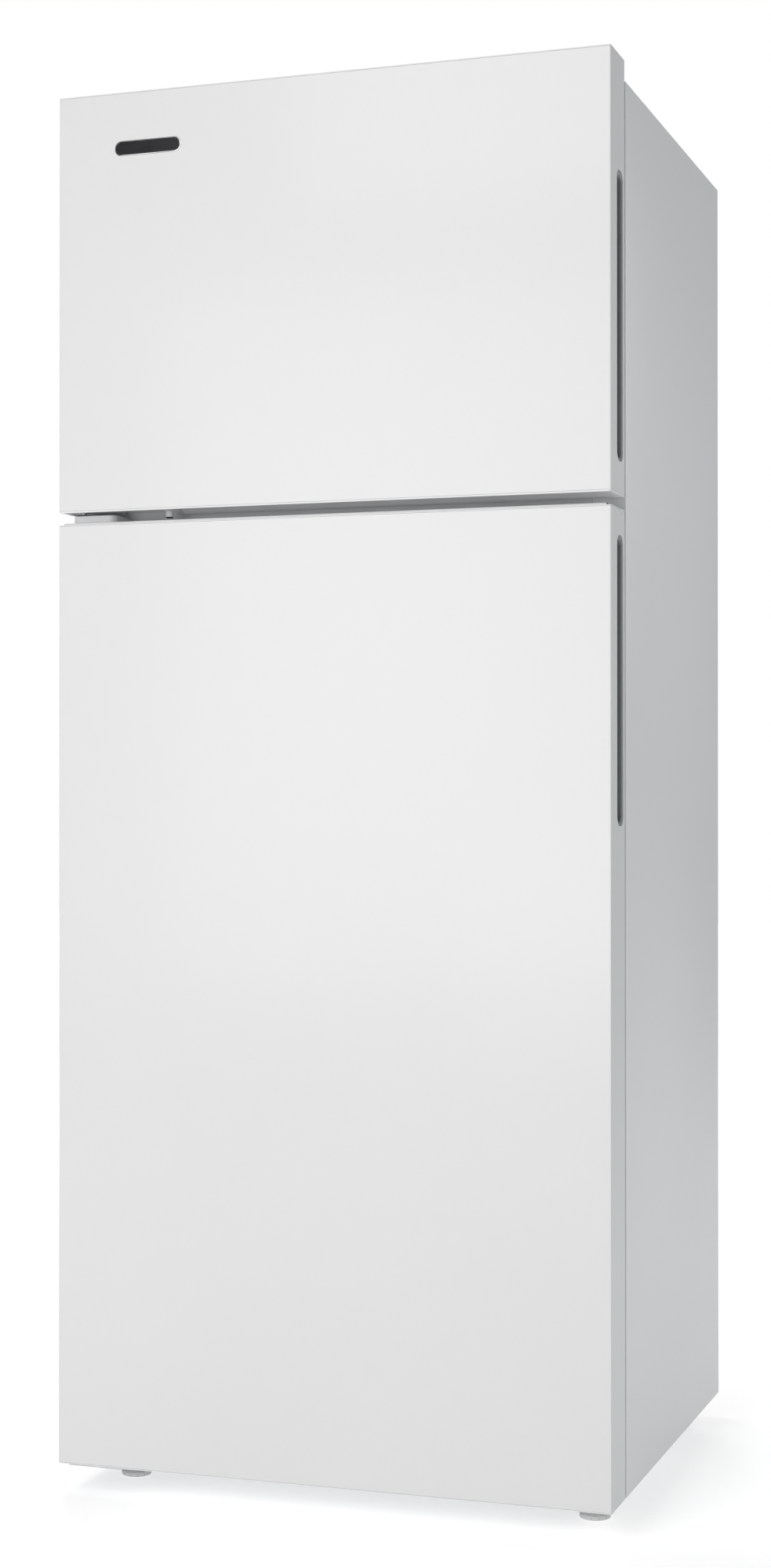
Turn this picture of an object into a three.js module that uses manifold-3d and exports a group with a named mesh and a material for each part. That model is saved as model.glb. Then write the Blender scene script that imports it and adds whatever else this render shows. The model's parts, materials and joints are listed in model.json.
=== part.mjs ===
// A top-freezer refrigerator, built as an assembly of separate closed pieces.
// Millimetres, +Z up. The origin is on the floor at the middle of the footprint.
// The doors face -Y, the hinges are on the left (-X) and the grip slots on the right (+X).
import * as THREE from "three";
import { mergeVertices } from "three/addons/utils/BufferGeometryUtils.js";
import Module from "manifold-3d";

const wasm = await Module();
wasm.setup();

// ---------------------------------------------------------------- driving dimensions

const WIDTH = 699;
const HEIGHT = 1725;
const DEPTH = 650;
const PANEL_DEPTH = 626; // door front to the rear edge of the side panels
const BASE_GAP = 40; // floor to the bottom edge of the cabinet and the lower door
const CABINET_DROP = 23.5; // top of the doors to the top of the cabinet
const FREEZER_DOOR_HEIGHT = 513;
const DOOR_SPLIT = 15.5; // gap between the two doors
const DOOR_THICK = 68;
const SEAL_GAP = 4.5; // rear of the doors to the front of the cabinet
const SHEET = 1.2; // folded steel
const LINER = 2.5; // moulded plastic liners
const FIT = 0.3; // gap between pieces that touch

const LEFT = -WIDTH / 2;
const RIGHT = WIDTH / 2;
const FRONT = -DEPTH / 2;
const REAR = DEPTH / 2;
const DOOR_BACK = FRONT + DOOR_THICK;
const CAB_FRONT = DOOR_BACK + SEAL_GAP;
const CAB_BACK = FRONT + PANEL_DEPTH;
const CAB_TOP = HEIGHT - CABINET_DROP;
const FREEZER_DOOR_Z = HEIGHT - FREEZER_DOOR_HEIGHT;
const FRIDGE_DOOR_TOP = FREEZER_DOOR_Z - DOOR_SPLIT;

// Hinge axis, shared by both doors.
const PIN = { x: LEFT + 18, y: FRONT + 33, r: 4 };
const PIN_CLEAR = 0.6;

// Food spaces: inner faces of the two liners.
const FRIDGE = { half: RIGHT - 50, back: 241, floor: 100, ceiling: 1172 };
const FREEZER = { half: RIGHT - 60, back: 236, floor: 1236, ceiling: 1640 };
const STEP = { wall: 100, floor: 290 }; // step in the fridge liner over the compressor
const DECK = { wall: 140, ceiling: 250 }; // steel around the compressor space
const FLANGE = { side: 40, top: 55, rear: 12 }; // returns of the cabinet wrap
const MULLION = { low: 1180, high: 1228 };
const RAIL_TOP = 92;

// Grip slots in the right edge of each door.
const GRIP = { y: FRONT + 44, half: 15, corner: 12, wall: 1.5, deep: 34 };
const FREEZER_GRIP = [1251, 1590];
const FRIDGE_GRIP = [827, 1165];

const FOOT = { x: RIGHT - 50, y: CAB_FRONT + 50, stem: 5, pad: 19 };
const ROLLER = { x: 300, y: 262, r: 17.5, wide: 20, axle: 3 };
const SHELF_FRONT = -145;
const SHELF_BACK = 222;

// ---------------------------------------------------------------- geometry helpers

function solid(geometry) {
  geometry.deleteAttribute("normal");
  geometry.deleteAttribute("uv");
  const merged = mergeVertices(geometry, 1e-4);
  return new wasm.Manifold(
    new wasm.Mesh({
      numProp: 3,
      vertProperties: new Float32Array(merged.attributes.position.array),
      triVerts: new Uint32Array(merged.index.array),
    }),
  );
}

function box([x0, x1], [y0, y1], [z0, z1]) {
  const g = new THREE.BoxGeometry(x1 - x0, y1 - y0, z1 - z0);
  return solid(g.translate((x0 + x1) / 2, (y0 + y1) / 2, (z0 + z1) / 2));
}

const X = new THREE.Vector3(1, 0, 0);
const Y = new THREE.Vector3(0, 1, 0);
const Z = new THREE.Vector3(0, 0, 1);

// A prism of an outline from a to b along an axis. The outline is drawn in the other two
// coordinates, in X, Y, Z order.
function prism(axis, outline, [a, b], segments = 3) {
  const shape = Array.isArray(outline)
    ? new THREE.Shape(outline.map(([u, v]) => new THREE.Vector2(u, v)))
    : outline;
  const g = new THREE.ExtrudeGeometry(
    shape,
    { depth: b - a, bevelEnabled: false, curveSegments: segments },
  );
  g.translate(0, 0, axis === "y" ? -b : a);
  if (axis === "y") g.applyMatrix4(new THREE.Matrix4().makeBasis(X, Z, Y.clone().negate()));
  if (axis === "x") g.applyMatrix4(new THREE.Matrix4().makeBasis(Y, Z, X));
  return solid(g);
}

// A rectangle with a radius for each corner: low-low, high-low, high-high, low-high.
function roundRect([u0, u1], [v0, v1], radii) {
  const [a, b, c, d] = Array.isArray(radii) ? radii : [radii, radii, radii, radii];
  const s = new THREE.Shape();
  s.moveTo(u0 + a, v0);
  s.lineTo(u1 - b, v0);
  if (b) s.absarc(u1 - b, v0 + b, b, -Math.PI / 2, 0);
  s.lineTo(u1, v1 - c);
  if (c) s.absarc(u1 - c, v1 - c, c, 0, Math.PI / 2);
  s.lineTo(u0 + d, v1);
  if (d) s.absarc(u0 + d, v1 - d, d, Math.PI / 2, Math.PI);
  s.lineTo(u0, v0 + a);
  if (a) s.absarc(u0 + a, v0 + a, a, Math.PI, 1.5 * Math.PI);
  return s;
}

function stadium(u, [v0, v1], r) {
  return roundRect([u - r, u + r], [v0, v1], r - 0.01);
}

function circle([u, v], r, sides = 20) {
  const turn = (2 * Math.PI) / sides;
  return Array.from({ length: sides }, (_, i) => [
    u + r * Math.cos((i + 0.5) * turn),
    v + r * Math.sin((i + 0.5) * turn),
  ]);
}

function rod(axis, centre, r, range, sides = 20) {
  return prism(axis, circle(centre, r, sides), range);
}

function join(...solids) {
  return solids.reduce((a, b) => a.add(b));
}

function cut(base, ...tools) {
  return tools.reduce((a, b) => a.subtract(b), base);
}

// An open-topped bin: outer box less the space inside its walls.
function tub([x0, x1], [y0, y1], [z0, z1], wall, r = 8) {
  const outer = prism("z", roundRect([x0, x1], [y0, y1], r), [z0, z1], 2);
  const inside = roundRect([x0 + wall, x1 - wall], [y0 + wall, y1 - wall], r - wall / 2);
  return cut(outer, prism("z", inside, [z0 + wall, z1 + 1], 2));
}

// ---------------------------------------------------------------- materials

const paint = new THREE.MeshStandardMaterial({ color: 0xf2f2f1, roughness: 0.35, metalness: 0 });
const trim = new THREE.MeshStandardMaterial({ color: 0xe6e7e7, roughness: 0.45, metalness: 0 });
const inner = new THREE.MeshStandardMaterial({ color: 0xf4f5f4, roughness: 0.4, metalness: 0 });
const seal = new THREE.MeshStandardMaterial({ color: 0xdadcdc, roughness: 0.7, metalness: 0 });
const grip = new THREE.MeshStandardMaterial({ color: 0x4a4c4e, roughness: 0.55, metalness: 0 });
const foam = new THREE.MeshStandardMaterial({ color: 0xe8dfb0, roughness: 0.9, metalness: 0 });
const zinc = new THREE.MeshStandardMaterial({ color: 0x9fa3a6, roughness: 0.35, metalness: 1 });
const black = new THREE.MeshStandardMaterial({ color: 0x1c1d1f, roughness: 0.45, metalness: 0 });
const fins = new THREE.MeshStandardMaterial({ color: 0xc3c7ca, roughness: 0.4, metalness: 1 });
const clear = new THREE.MeshStandardMaterial({ color: 0xdde8ec, roughness: 0.1, metalness: 0 });
const frost = new THREE.MeshStandardMaterial({ color: 0xe9f0f3, roughness: 0.3, metalness: 0 });

const fridge = new THREE.Group();

function add(name, made, material) {
  const m = made.getMesh();
  const g = new THREE.BufferGeometry();
  g.setAttribute("position", new THREE.BufferAttribute(new Float32Array(m.vertProperties), 3));
  g.setIndex(new THREE.BufferAttribute(new Uint32Array(m.triVerts), 1));
  g.computeVertexNormals();
  const mesh = new THREE.Mesh(g, material);
  mesh.name = name;
  fridge.add(mesh);
}

// ---------------------------------------------------------------- cabinet body

// Folded steel sides and top, with returns round the front opening and the rear.
function cabinetWrap() {
  const outer = box([LEFT, RIGHT], [CAB_FRONT, CAB_BACK], [BASE_GAP, CAB_TOP]);
  const room = box(
    [LEFT + SHEET, RIGHT - SHEET],
    [CAB_FRONT + SHEET, CAB_BACK - SHEET],
    [BASE_GAP - 1, CAB_TOP - SHEET],
  );
  const frontHole = box(
    [LEFT + FLANGE.side, RIGHT - FLANGE.side],
    [CAB_FRONT - 1, CAB_FRONT + 3],
    [BASE_GAP - 1, CAB_TOP - FLANGE.top],
  );
  const rearHole = box(
    [LEFT + FLANGE.rear, RIGHT - FLANGE.rear],
    [CAB_BACK - 3, CAB_BACK + 1],
    [BASE_GAP - 1, CAB_TOP - FLANGE.rear],
  );
  add("cabinet_wrap", cut(outer, room, frontHole, rearHole), paint);
}

const PANEL_Y = [CAB_BACK - SHEET - FIT - 1, CAB_BACK - SHEET - FIT];

// Flat back sheet with pressed vertical ribs.
function backPanel() {
  const z = [DECK.ceiling + 6, CAB_TOP - SHEET - FIT];
  let sheet = box([LEFT + SHEET + FIT, RIGHT - SHEET - FIT], PANEL_Y, z);
  for (const x of [-240, -80, 80, 240]) {
    const rib = [
      [x - 14, PANEL_Y[0] + 0.5],
      [x + 14, PANEL_Y[0] + 0.5],
      [x + 10, PANEL_Y[1] + 2],
      [x - 10, PANEL_Y[1] + 2],
    ];
    sheet = sheet.add(prism("z", rib, [z[0] + 40, z[1] - 60]));
  }
  add("back_panel", sheet, zinc);
}

// Outline of the fridge food space in Y and Z, grown outwards by g.
function fridgeOutline(g, front) {
  return [
    [front, FRIDGE.floor - g],
    [STEP.wall + g, FRIDGE.floor - g],
    [STEP.wall + g, STEP.floor - g],
    [FRIDGE.back + g, STEP.floor - g],
    [FRIDGE.back + g, FRIDGE.ceiling + g],
    [front, FRIDGE.ceiling + g],
  ];
}

const SHELF_Z = { upper: 960, middle: 770, lower: 575, cover: 385 };
const CRISPER_RAIL = 352;
const RUNNER = 11; // how far the shelf runners stand out from the liner walls
const SWITCH = { x: FRIDGE.half - 20, z: 1051, r: 4 };
const DYKE_BACK = CAB_FRONT + 28; // how far the door liners reach into the cabinet

function mirrored(x0, x1, y, z) {
  return join(box([x0, x1], y, z), box([-x1, -x0], y, z));
}

function fridgeLiner() {
  const half = FRIDGE.half;
  const shell = prism("x", fridgeOutline(LINER, CAB_FRONT), [-half - LINER, half + LINER]);
  const flangeX = RIGHT - FLANGE.side - FIT;
  const flange = box([-flangeX, flangeX], [CAB_FRONT, CAB_FRONT + 2], [RAIL_TOP + FIT, MULLION.low - FIT]);
  const room = prism("x", fridgeOutline(0, CAB_FRONT - 1), [-half, half]);
  let liner = cut(join(shell, flange), room);
  for (const z of Object.values(SHELF_Z)) {
    liner = liner.add(mirrored(half - RUNNER, half + 1, [SHELF_FRONT + 5, SHELF_BACK - 4], [z - 8, z]));
  }
  liner = liner.add(mirrored(
    half - RUNNER,
    half + 1,
    [SHELF_FRONT + 8, STEP.wall - 6],
    [CRISPER_RAIL - 8, CRISPER_RAIL],
  ));
  const switchBody = box([half - 32, half + 1], [-212, -180], [1039, 1063]);
  liner = join(liner, switchBody);
  add(
    "fridge_liner",
    cut(liner, rod("y", [SWITCH.x, SWITCH.z], SWITCH.r + PIN_CLEAR, [-213, -192])),
    inner,
  );
}


// The light switch plunger in the right wall, pressed in by the closed door.
function doorSwitch() {
  const plunger = rod("y", [SWITCH.x, SWITCH.z], SWITCH.r, [DYKE_BACK + FIT, -196]);
  add("door_switch_plunger", plunger, trim);
}

const FREEZER_SHELF_Z = 1430;

function freezerLiner() {
  const half = FREEZER.half;
  const z = [FREEZER.floor, FREEZER.ceiling];
  const shell = box(
    [-half - LINER, half + LINER],
    [CAB_FRONT, FREEZER.back + LINER],
    [z[0] - LINER, z[1] + LINER],
  );
  const flangeX = RIGHT - FLANGE.side - FIT;
  const flange = box(
    [-flangeX, flangeX],
    [CAB_FRONT, CAB_FRONT + 2],
    [MULLION.high + FIT, CAB_TOP - FLANGE.top - FIT],
  );
  const room = box([-half, half], [CAB_FRONT - 1, FREEZER.back], z);
  const runners = mirrored(
    half - RUNNER,
    half + 1,
    [SHELF_FRONT, 140],
    [FREEZER_SHELF_Z - 8, FREEZER_SHELF_Z],
  );
  add("freezer_liner", join(cut(join(shell, flange), room), runners), inner);
}

// Foamed insulation between the wrap and the liners.
function cabinetFoam() {
  const y0 = CAB_FRONT + SHEET + FIT + 1;
  const y1 = PANEL_Y[0] - FIT;
  const low = BASE_GAP + SHEET + FIT;
  const high = CAB_TOP - SHEET - FIT;
  const wall = DECK.wall - SHEET - FIT;
  const ceiling = DECK.ceiling + SHEET + FIT;
  const outline = [[y0, low], [wall, low], [wall, ceiling], [y1, ceiling], [y1, high], [y0, high]];
  const side = RIGHT - SHEET - FIT;
  const gap = LINER + FIT;
  const block = prism("x", outline, [-side, side]);
  const fridgeRoom = prism("x", fridgeOutline(gap, CAB_FRONT - 1), [-FRIDGE.half - gap, FRIDGE.half + gap]);
  const freezerRoom = box(
    [-FREEZER.half - gap, FREEZER.half + gap],
    [CAB_FRONT - 1, FREEZER.back + gap],
    [FREEZER.floor - gap, FREEZER.ceiling + gap],
  );
  const flangeX = RIGHT - FLANGE.side + FIT;
  const rail = box([-flangeX, flangeX], [y0 - 1, CAB_FRONT + 16 + FIT], [low - 1, RAIL_TOP + FIT]);
  const mullion = box(
    [-flangeX, flangeX],
    [y0 - 1, CAB_FRONT + 14 + FIT],
    [MULLION.low - FIT, MULLION.high + FIT],
  );
  const feet = [-1, 1].map((s) => rod("z", [s * FOOT.x, FOOT.y], FOOT.stem + 3, [low - 1, 72], 12));
  add("cabinet_foam", cut(block, fridgeRoom, freezerRoom, rail, mullion, ...feet), foam);
}

// Steel channel across the front between the two food spaces.
function centreRail() {
  const x = RIGHT - FLANGE.side - FIT;
  const channel = box([-x, x], [CAB_FRONT, CAB_FRONT + 14], [MULLION.low, MULLION.high]);
  const hollow = box(
    [-x + 1.5, x - 1.5],
    [CAB_FRONT + 1.5, CAB_FRONT + 15],
    [MULLION.low + 1.5, MULLION.high - 1.5],
  );
  add("centre_rail", cut(channel, hollow), paint);
}

// Bottom pan: front rail, floor, and the wall and ceiling of the compressor space.
function baseDeck() {
  const side = RIGHT - SHEET - FIT;
  const t = SHEET;
  const railY = CAB_FRONT + 15;
  const outline = [
    [railY, BASE_GAP],
    [DECK.wall, BASE_GAP],
    [DECK.wall, DECK.ceiling],
    [PANEL_Y[0], DECK.ceiling],
    [PANEL_Y[0], DECK.ceiling + t],
    [DECK.wall - t, DECK.ceiling + t],
    [DECK.wall - t, BASE_GAP + t],
    [railY, BASE_GAP + t],
  ];
  const pan = prism("x", outline, [-side, side]);
  const cheeks = mirrored(
    side - t,
    side,
    [DECK.wall - t, PANEL_Y[0]],
    [BASE_GAP + SHEET + FIT, DECK.ceiling + t],
  );
  const x = RIGHT - FLANGE.side - FIT;
  const rail = box([-x, x], [CAB_FRONT, railY + 1], [BASE_GAP, RAIL_TOP]);
  const hollow = box([-x + t, x - t], [CAB_FRONT + t, railY + 2], [BASE_GAP + t, RAIL_TOP - t]);
  const feet = [-1, 1].map((s) => rod(
    "z",
    [s * FOOT.x, FOOT.y],
    FOOT.stem + 1.6,
    [BASE_GAP - 1, BASE_GAP + 3],
    12,
  ));
  add("base_deck", cut(join(pan, cheeks, cut(rail, hollow)), ...feet), zinc);
}

// ---------------------------------------------------------------- compressor space

const PLATE_Z = 44;

// Cross plate that carries the compressor, with a fork and an axle at each end for the rear rollers.
function compressorPlate() {
  const side = RIGHT - 2 * (SHEET + FIT);
  const t = 2;
  const y = [DECK.wall + 6, CAB_BACK - 4];
  const tray = [
    [-side, PLATE_Z], [side, PLATE_Z], [side, PLATE_Z + 18], [side - t, PLATE_Z + 18],
    [side - t, PLATE_Z + t], [-side + t, PLATE_Z + t], [-side + t, PLATE_Z + 18], [-side, PLATE_Z + 18],
  ];
  let plate = prism("y", tray, y);
  const reach = ROLLER.wide / 2 + 2;
  for (const s of [-1, 1]) {
    const x = s * ROLLER.x;
    for (const e of [-reach - t, reach]) {
      const cheek = roundRect([ROLLER.y - 12, ROLLER.y + 12], [ROLLER.r - 9, PLATE_Z + 1], [9, 9, 0, 0]);
      plate = plate.add(prism("x", cheek, [x + e, x + e + t], 2));
    }
    plate = plate.add(rod("x", [ROLLER.y, ROLLER.r], ROLLER.axle, [x - reach - 3, x + reach + 3], 16));
  }
  add("compressor_plate", plate, zinc);
}

function rollers() {
  for (const [name, s] of [["left", -1], ["right", 1]]) {
    const x = [s * ROLLER.x - ROLLER.wide / 2, s * ROLLER.x + ROLLER.wide / 2];
    const wheel = rod("x", [ROLLER.y, ROLLER.r], ROLLER.r, x, 32);
    const bore = rod("x", [ROLLER.y, ROLLER.r], ROLLER.axle + 0.5, [x[0] - 1, x[1] + 1], 16);
    add(`rear_roller_${name}`, cut(wheel, bore), black);
  }
}

const COMPRESSOR = { x: -170, y: 220, r: 70 };

// Hermetic compressor shell on a foot plate.
function compressor() {
  const r = COMPRESSOR.r;
  const profile = [
    [0, 62],
    [r - 12, 62],
    [r - 2, 72],
    [r, 130],
    [r, 148],
    [r + 3, 150],
    [r + 3, 156],
    [r, 158],
  ];
  for (let i = 1; i <= 5; i++) {
    const a = (i * Math.PI) / 10;
    profile.push([r * Math.cos(a) || 0, 158 + 58 * Math.sin(a)]);
  }
  profile[profile.length - 1][0] = 0;
  const g = new THREE.LatheGeometry(profile.map(([u, v]) => new THREE.Vector2(u, v)), 28);
  const shell = solid(g.rotateX(Math.PI / 2).translate(COMPRESSOR.x, COMPRESSOR.y, 0));
  const foot = roundRect(
    [COMPRESSOR.x - 95, COMPRESSOR.x + 95],
    [COMPRESSOR.y - 50, COMPRESSOR.y + 50],
    18,
  );
  const mounts = [-1, 1].flatMap((i) => [-1, 1].map((j) => [COMPRESSOR.x + i * 80, COMPRESSOR.y + j * 34]));
  const grommets = mounts.map((at) => rod("z", at, 10, [PLATE_Z + 2 + FIT, 68], 16));
  add("compressor", join(shell, prism("z", foot, [60, 63]), ...grommets), black);
}

// Tray that catches defrost water beside the compressor.
function evaporatingTray() {
  add("evaporating_tray", tub([-40, 270], [DECK.wall + 10, 288], [PLATE_Z + 2 + FIT, 104], 2.5, 14), trim);
}

// Vented rear cover of the compressor space, with a collar that the mains lead passes through.
function machineCover() {
  const x = RIGHT - 10;
  const y = CAB_BACK + FIT;
  const z = [52, 268];
  const wall = 2.5;
  const hood = [[y, z[0]], [REAR - 6, z[0]], [REAR, z[0] + 6], [REAR, z[1] - 34], [y + 4, z[1]], [y, z[1]]];
  const room = [
    [y - 1, z[0] + wall], [REAR - 7, z[0] + wall], [REAR - wall, z[0] + 7],
    [REAR - wall, z[1] - 36], [y + 2, z[1] - wall - 2], [y - 1, z[1] - wall - 2],
  ];
  let cover = cut(prism("x", hood, [-x, x]), prism("x", room, [-x + wall, x - wall]));
  for (const column of [-160, 160]) {
    for (let row = 0; row < 8; row++) {
      const slot = stadium(z[0] + 30 + row * 18, [column - 110, column + 110], 4);
      const turned = slot.getPoints(2).map((p) => [p.y, p.x]).reverse();
      cover = cover.subtract(prism("y", turned, [REAR - 4, REAR + 1]));
    }
  }
  const inlet = [-RIGHT + 45, 120];
  const collar = rod("y", inlet, 12, [y + 6, REAR - 0.5], 20);
  cover = cut(cover.add(collar), rod("y", inlet, 5, [y, REAR + 1], 16));
  add("machine_cover", cover, grip);
}

// ---------------------------------------------------------------- hinges and feet

// Arm over the freezer door's hinge pocket, screwed to the cabinet top, with its pin down.
function topHinge() {
  const z = [CAB_TOP + FIT, CAB_TOP + FIT + 3.5];
  const arm = prism(
    "z",
    roundRect([PIN.x - 11, PIN.x + 11], [PIN.y - 11, CAB_FRONT + 20], [10.9, 10.9, 0, 0]),
    z,
  );
  const plate = prism("z", roundRect([PIN.x - 11, PIN.x + 46], [CAB_FRONT + 8, CAB_FRONT + 72], 6), z, 2);
  const pin = rod("z", [PIN.x, PIN.y], PIN.r, [CAB_TOP - 15, z[1] - 1]);
  add("top_hinge", join(arm, plate, pin), zinc);
}

function topHingeCover() {
  const wall = 2;
  const z = [CAB_TOP + FIT, HEIGHT - 4];
  const y = [CAB_FRONT + 3, CAB_FRONT + 86];
  const x = [LEFT + 3, PIN.x + 56];
  const outer = prism("z", roundRect(x, y, 7), z, 2);
  const room = prism(
    "z",
    roundRect([x[0] + wall, x[1] - wall], [y[0] + wall, y[1] - wall], 5),
    [z[0] - 1, z[1] - wall],
    2,
  );
  const mouth = box([PIN.x - 12, PIN.x + 12], [y[0] - 1, y[0] + 6], [z[0] - 1, z[0] + 5]);
  add("top_hinge_cover", cut(outer, room, mouth), trim);
}

const MID_Z = [FRIDGE_DOOR_TOP + 3.2, FREEZER_DOOR_Z - 2.2];

// Bracket between the doors: one arm, with a pin up for the freezer door and down for the fridge door.
function midHinge() {
  const outline = roundRect([PIN.x - 10, PIN.x + 47], [PIN.y - 10, CAB_FRONT - FIT], [9.9, 16, 0, 0]);
  const arm = prism("z", outline, MID_Z);
  const pin = rod("z", [PIN.x, PIN.y], PIN.r, [FRIDGE_DOOR_TOP - 14, FREEZER_DOOR_Z + 14]);
  add("mid_hinge", join(arm, pin), trim);
}

// Joggled plate under the cabinet and the lower door, with its pin up.
function bottomHinge() {
  const z = 33;
  const t = 3.5;
  const high = BASE_GAP - FIT;
  const y = CAB_FRONT + 8;
  const outline = [
    [PIN.y - 12, z], [y, z], [y, high - t], [CAB_FRONT + 78, high - t],
    [CAB_FRONT + 78, high], [y - t, high], [y - t, z + t], [PIN.y - 12, z + t],
  ];
  const plate = prism("x", outline, [LEFT + 4, LEFT + 88]);
  const pin = rod("z", [PIN.x, PIN.y], PIN.r, [z + 1, BASE_GAP + 14]);
  const hole = rod("z", [-FOOT.x, FOOT.y], FOOT.stem + 0.6, [z - 1, high + 1], 16);
  add("bottom_hinge", cut(join(plate, pin), hole), zinc);
}

function levellingFeet() {
  for (const [name, s] of [["left", -1], ["right", 1]]) {
    const at = [s * FOOT.x, FOOT.y];
    const pad = rod("z", at, FOOT.pad, [0, 7], 28);
    const waist = rod("z", at, FOOT.pad - 5, [6.5, 10], 28);
    const hex = rod("z", at, 12, [9.5, 17], 6);
    const stem = rod("z", at, FOOT.stem, [16, 58], 16);
    add(`levelling_foot_${name}`, join(pad, waist, hex, stem), trim);
  }
}

// ---------------------------------------------------------------- freezer fittings

const PANEL = { front: 150, back: 153 }; // air panel across the back of the freezer
const FAN = { z: 1550, r: 46 };

function evaporator() {
  const pitch = 11;
  const count = 40;
  const x0 = -(pitch * count) / 2;
  const fin = 1.5;
  const outline = [[x0, 168]];
  for (let i = 0; i < count; i++) {
    const x = x0 + i * pitch;
    outline.push([x + fin, 168], [x + fin, 219], [x + pitch, 219], [x + pitch, 168]);
  }
  outline.push([-x0 + fin, 168], [-x0 + fin, 225], [x0, 225]);
  const comb = prism("z", outline.reverse(), [1264, 1468]);
  const feet = [x0 + 2, -x0 - 22].map((x) => box([x, x + 20], [224, FREEZER.back - FIT], [1300, 1432]));
  add("evaporator", join(comb, ...feet), fins);
}

function evaporatorCover() {
  const half = FREEZER.half - FIT;
  const z = [FREEZER.floor + FIT, FREEZER.ceiling - FIT];
  const panel = box([-half, half], [PANEL.front, PANEL.back], z);
  const raised = prism(
    "y",
    roundRect([-180, 180], [z[0] + 60, z[1] - 18], 20),
    [PANEL.front - 6, PANEL.front + 1],
  );
  let cover = join(panel, raised);
  cover = cut(
    cover,
    prism("y", roundRect([-177, 177], [z[0] + 63, z[1] - 21], 17), [PANEL.front - 3, PANEL.back + 1]),
  );
  for (let i = 0; i < 7; i++) {
    const x = (i - 3) * 13;
    const high = Math.sqrt((FAN.r - 2) ** 2 - x * x);
    cover = cover.subtract(prism(
      "y",
      roundRect([x - 4.5, x + 4.5], [FAN.z - high, FAN.z + high], 4),
      [140, 160],
      1,
    ));
  }
  for (let i = 0; i < 9; i++) {
    const x = (i - 4) * 56;
    cover = cover.subtract(prism(
      "y",
      roundRect([x - 20, x + 20], [z[0] + 14, z[0] + 24], 4.5),
      [140, 160],
      1,
    ));
  }
  add("evaporator_cover", cover, inner);
}

// Fan motor on the rear wall, with a bore for the blade's shaft.
function fanMotor() {
  const can = rod("y", [0, FAN.z], 27, [190, 231]);
  const base = rod("y", [0, FAN.z], 40, [230, FREEZER.back - FIT]);
  const bore = rod("y", [0, FAN.z], 3.2, [189, 200], 12);
  add("fan_motor", cut(join(can, base), bore), black);
}

function fanBlade() {
  let blade = join(rod("y", [0, FAN.z], 14, [162, 184]), rod("y", [0, FAN.z], 2.5, [183, 197], 12));
  for (let i = 0; i < 5; i++) {
    const vane = new THREE.BoxGeometry(FAN.r - 10, 2.4, 26);
    vane.translate((FAN.r + 10) / 2, 0, 0);
    vane.rotateX(0.55);
    vane.rotateY((i * 2 * Math.PI) / 5);
    vane.translate(0, 173, FAN.z);
    blade = blade.add(solid(vane));
  }
  add("fan_blade", blade, trim);
}

function freezerShelf() {
  const half = FREEZER.half - 1;
  const z = FREEZER_SHELF_Z + FIT;
  const glass = box([-half, half], [SHELF_FRONT, PANEL.front - 8], [z, z + 5]);
  const nose = prism(
    "x",
    roundRect([SHELF_FRONT - 6, SHELF_FRONT + 6], [z - 8, z + 6.4], 3),
    [-half + 14, half - 14],
    2,
  );
  add("freezer_shelf", join(glass, nose), clear);
}

const ICE = { x0: -285, x1: -85, y0: -138, y1: 140, z0: FREEZER_SHELF_Z + 5 + 2 * FIT, z1: 1630, axis: 1583 };
const TRAY_X = { left: ICE.x0 + 52, right: ICE.x1 - 52 };
const TRAY_SHAFT = 6;

// Open frame that holds two twisting ice trays above a bin.
function iceMakerFrame() {
  const wall = 3;
  const outer = box([ICE.x0, ICE.x1], [ICE.y0, ICE.y1], [ICE.z0, ICE.z1]);
  const room = box([ICE.x0 + wall, ICE.x1 - wall], [ICE.y0 + 4, ICE.y1 - wall], [ICE.z0 + 2, ICE.z1 + 1]);
  const mouth = box([ICE.x0 + wall, ICE.x1 - wall], [ICE.y0 - 1, ICE.y0 + 5], [ICE.z0 + 2, 1560]);
  let frame = cut(outer, room, mouth);
  for (const x of Object.values(TRAY_X)) {
    frame = frame.subtract(rod("y", [x, ICE.axis], TRAY_SHAFT + PIN_CLEAR, [ICE.y0 - 1, ICE.y0 + 6]));
    frame = frame.subtract(rod("y", [x, ICE.axis], 4 + PIN_CLEAR, [ICE.y1 - 5, ICE.y1 + 1]));
  }
  add("ice_maker_frame", frame, inner);
}

// A tray with low dividers, a lever in front and a pin behind.
function iceTrays() {
  for (const [name, x] of Object.entries(TRAY_X)) {
    const z = [ICE.axis - 20, ICE.axis + 8];
    const y = [ICE.y0 + 9, ICE.y1 - 14];
    let tray = prism("z", roundRect([x - 42, x + 42], y, 8), z, 1);
    tray = tray.subtract(prism(
      "z",
      roundRect([x - 40, x + 40], [y[0] + 2, y[1] - 2], 7),
      [z[1] - 9, z[1] + 1],
      1,
    ));
    const cells = 6;
    const pitch = (y[1] - y[0] - 4) / cells;
    for (const side of [-40, 1]) {
      for (let i = 0; i < cells; i++) {
        const cy = y[0] + 3 + i * pitch;
        tray = tray.subtract(box([x + side, x + side + 39], [cy, cy + pitch - 2], [z[0] + 2.5, z[1] - 8]));
      }
    }
    const shaft = rod("y", [x, ICE.axis], TRAY_SHAFT, [ICE.y0 - 5, y[0] + 1], 16);
    const disc = rod("y", [x, ICE.axis], 18, [ICE.y0 - 9, ICE.y0 - 4], 24);
    const lever = prism(
      "y",
      roundRect([x - 5, x + 5], [ICE.axis - 17, ICE.axis + 17], 4),
      [ICE.y0 - 17, ICE.y0 - 8],
      1,
    );
    const pin = rod("y", [x, ICE.axis], 4, [y[1] - 1, ICE.y1 - 1], 16);
    add(`ice_tray_${name}`, join(tray, shaft, disc, lever, pin), frost);
  }
}

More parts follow.
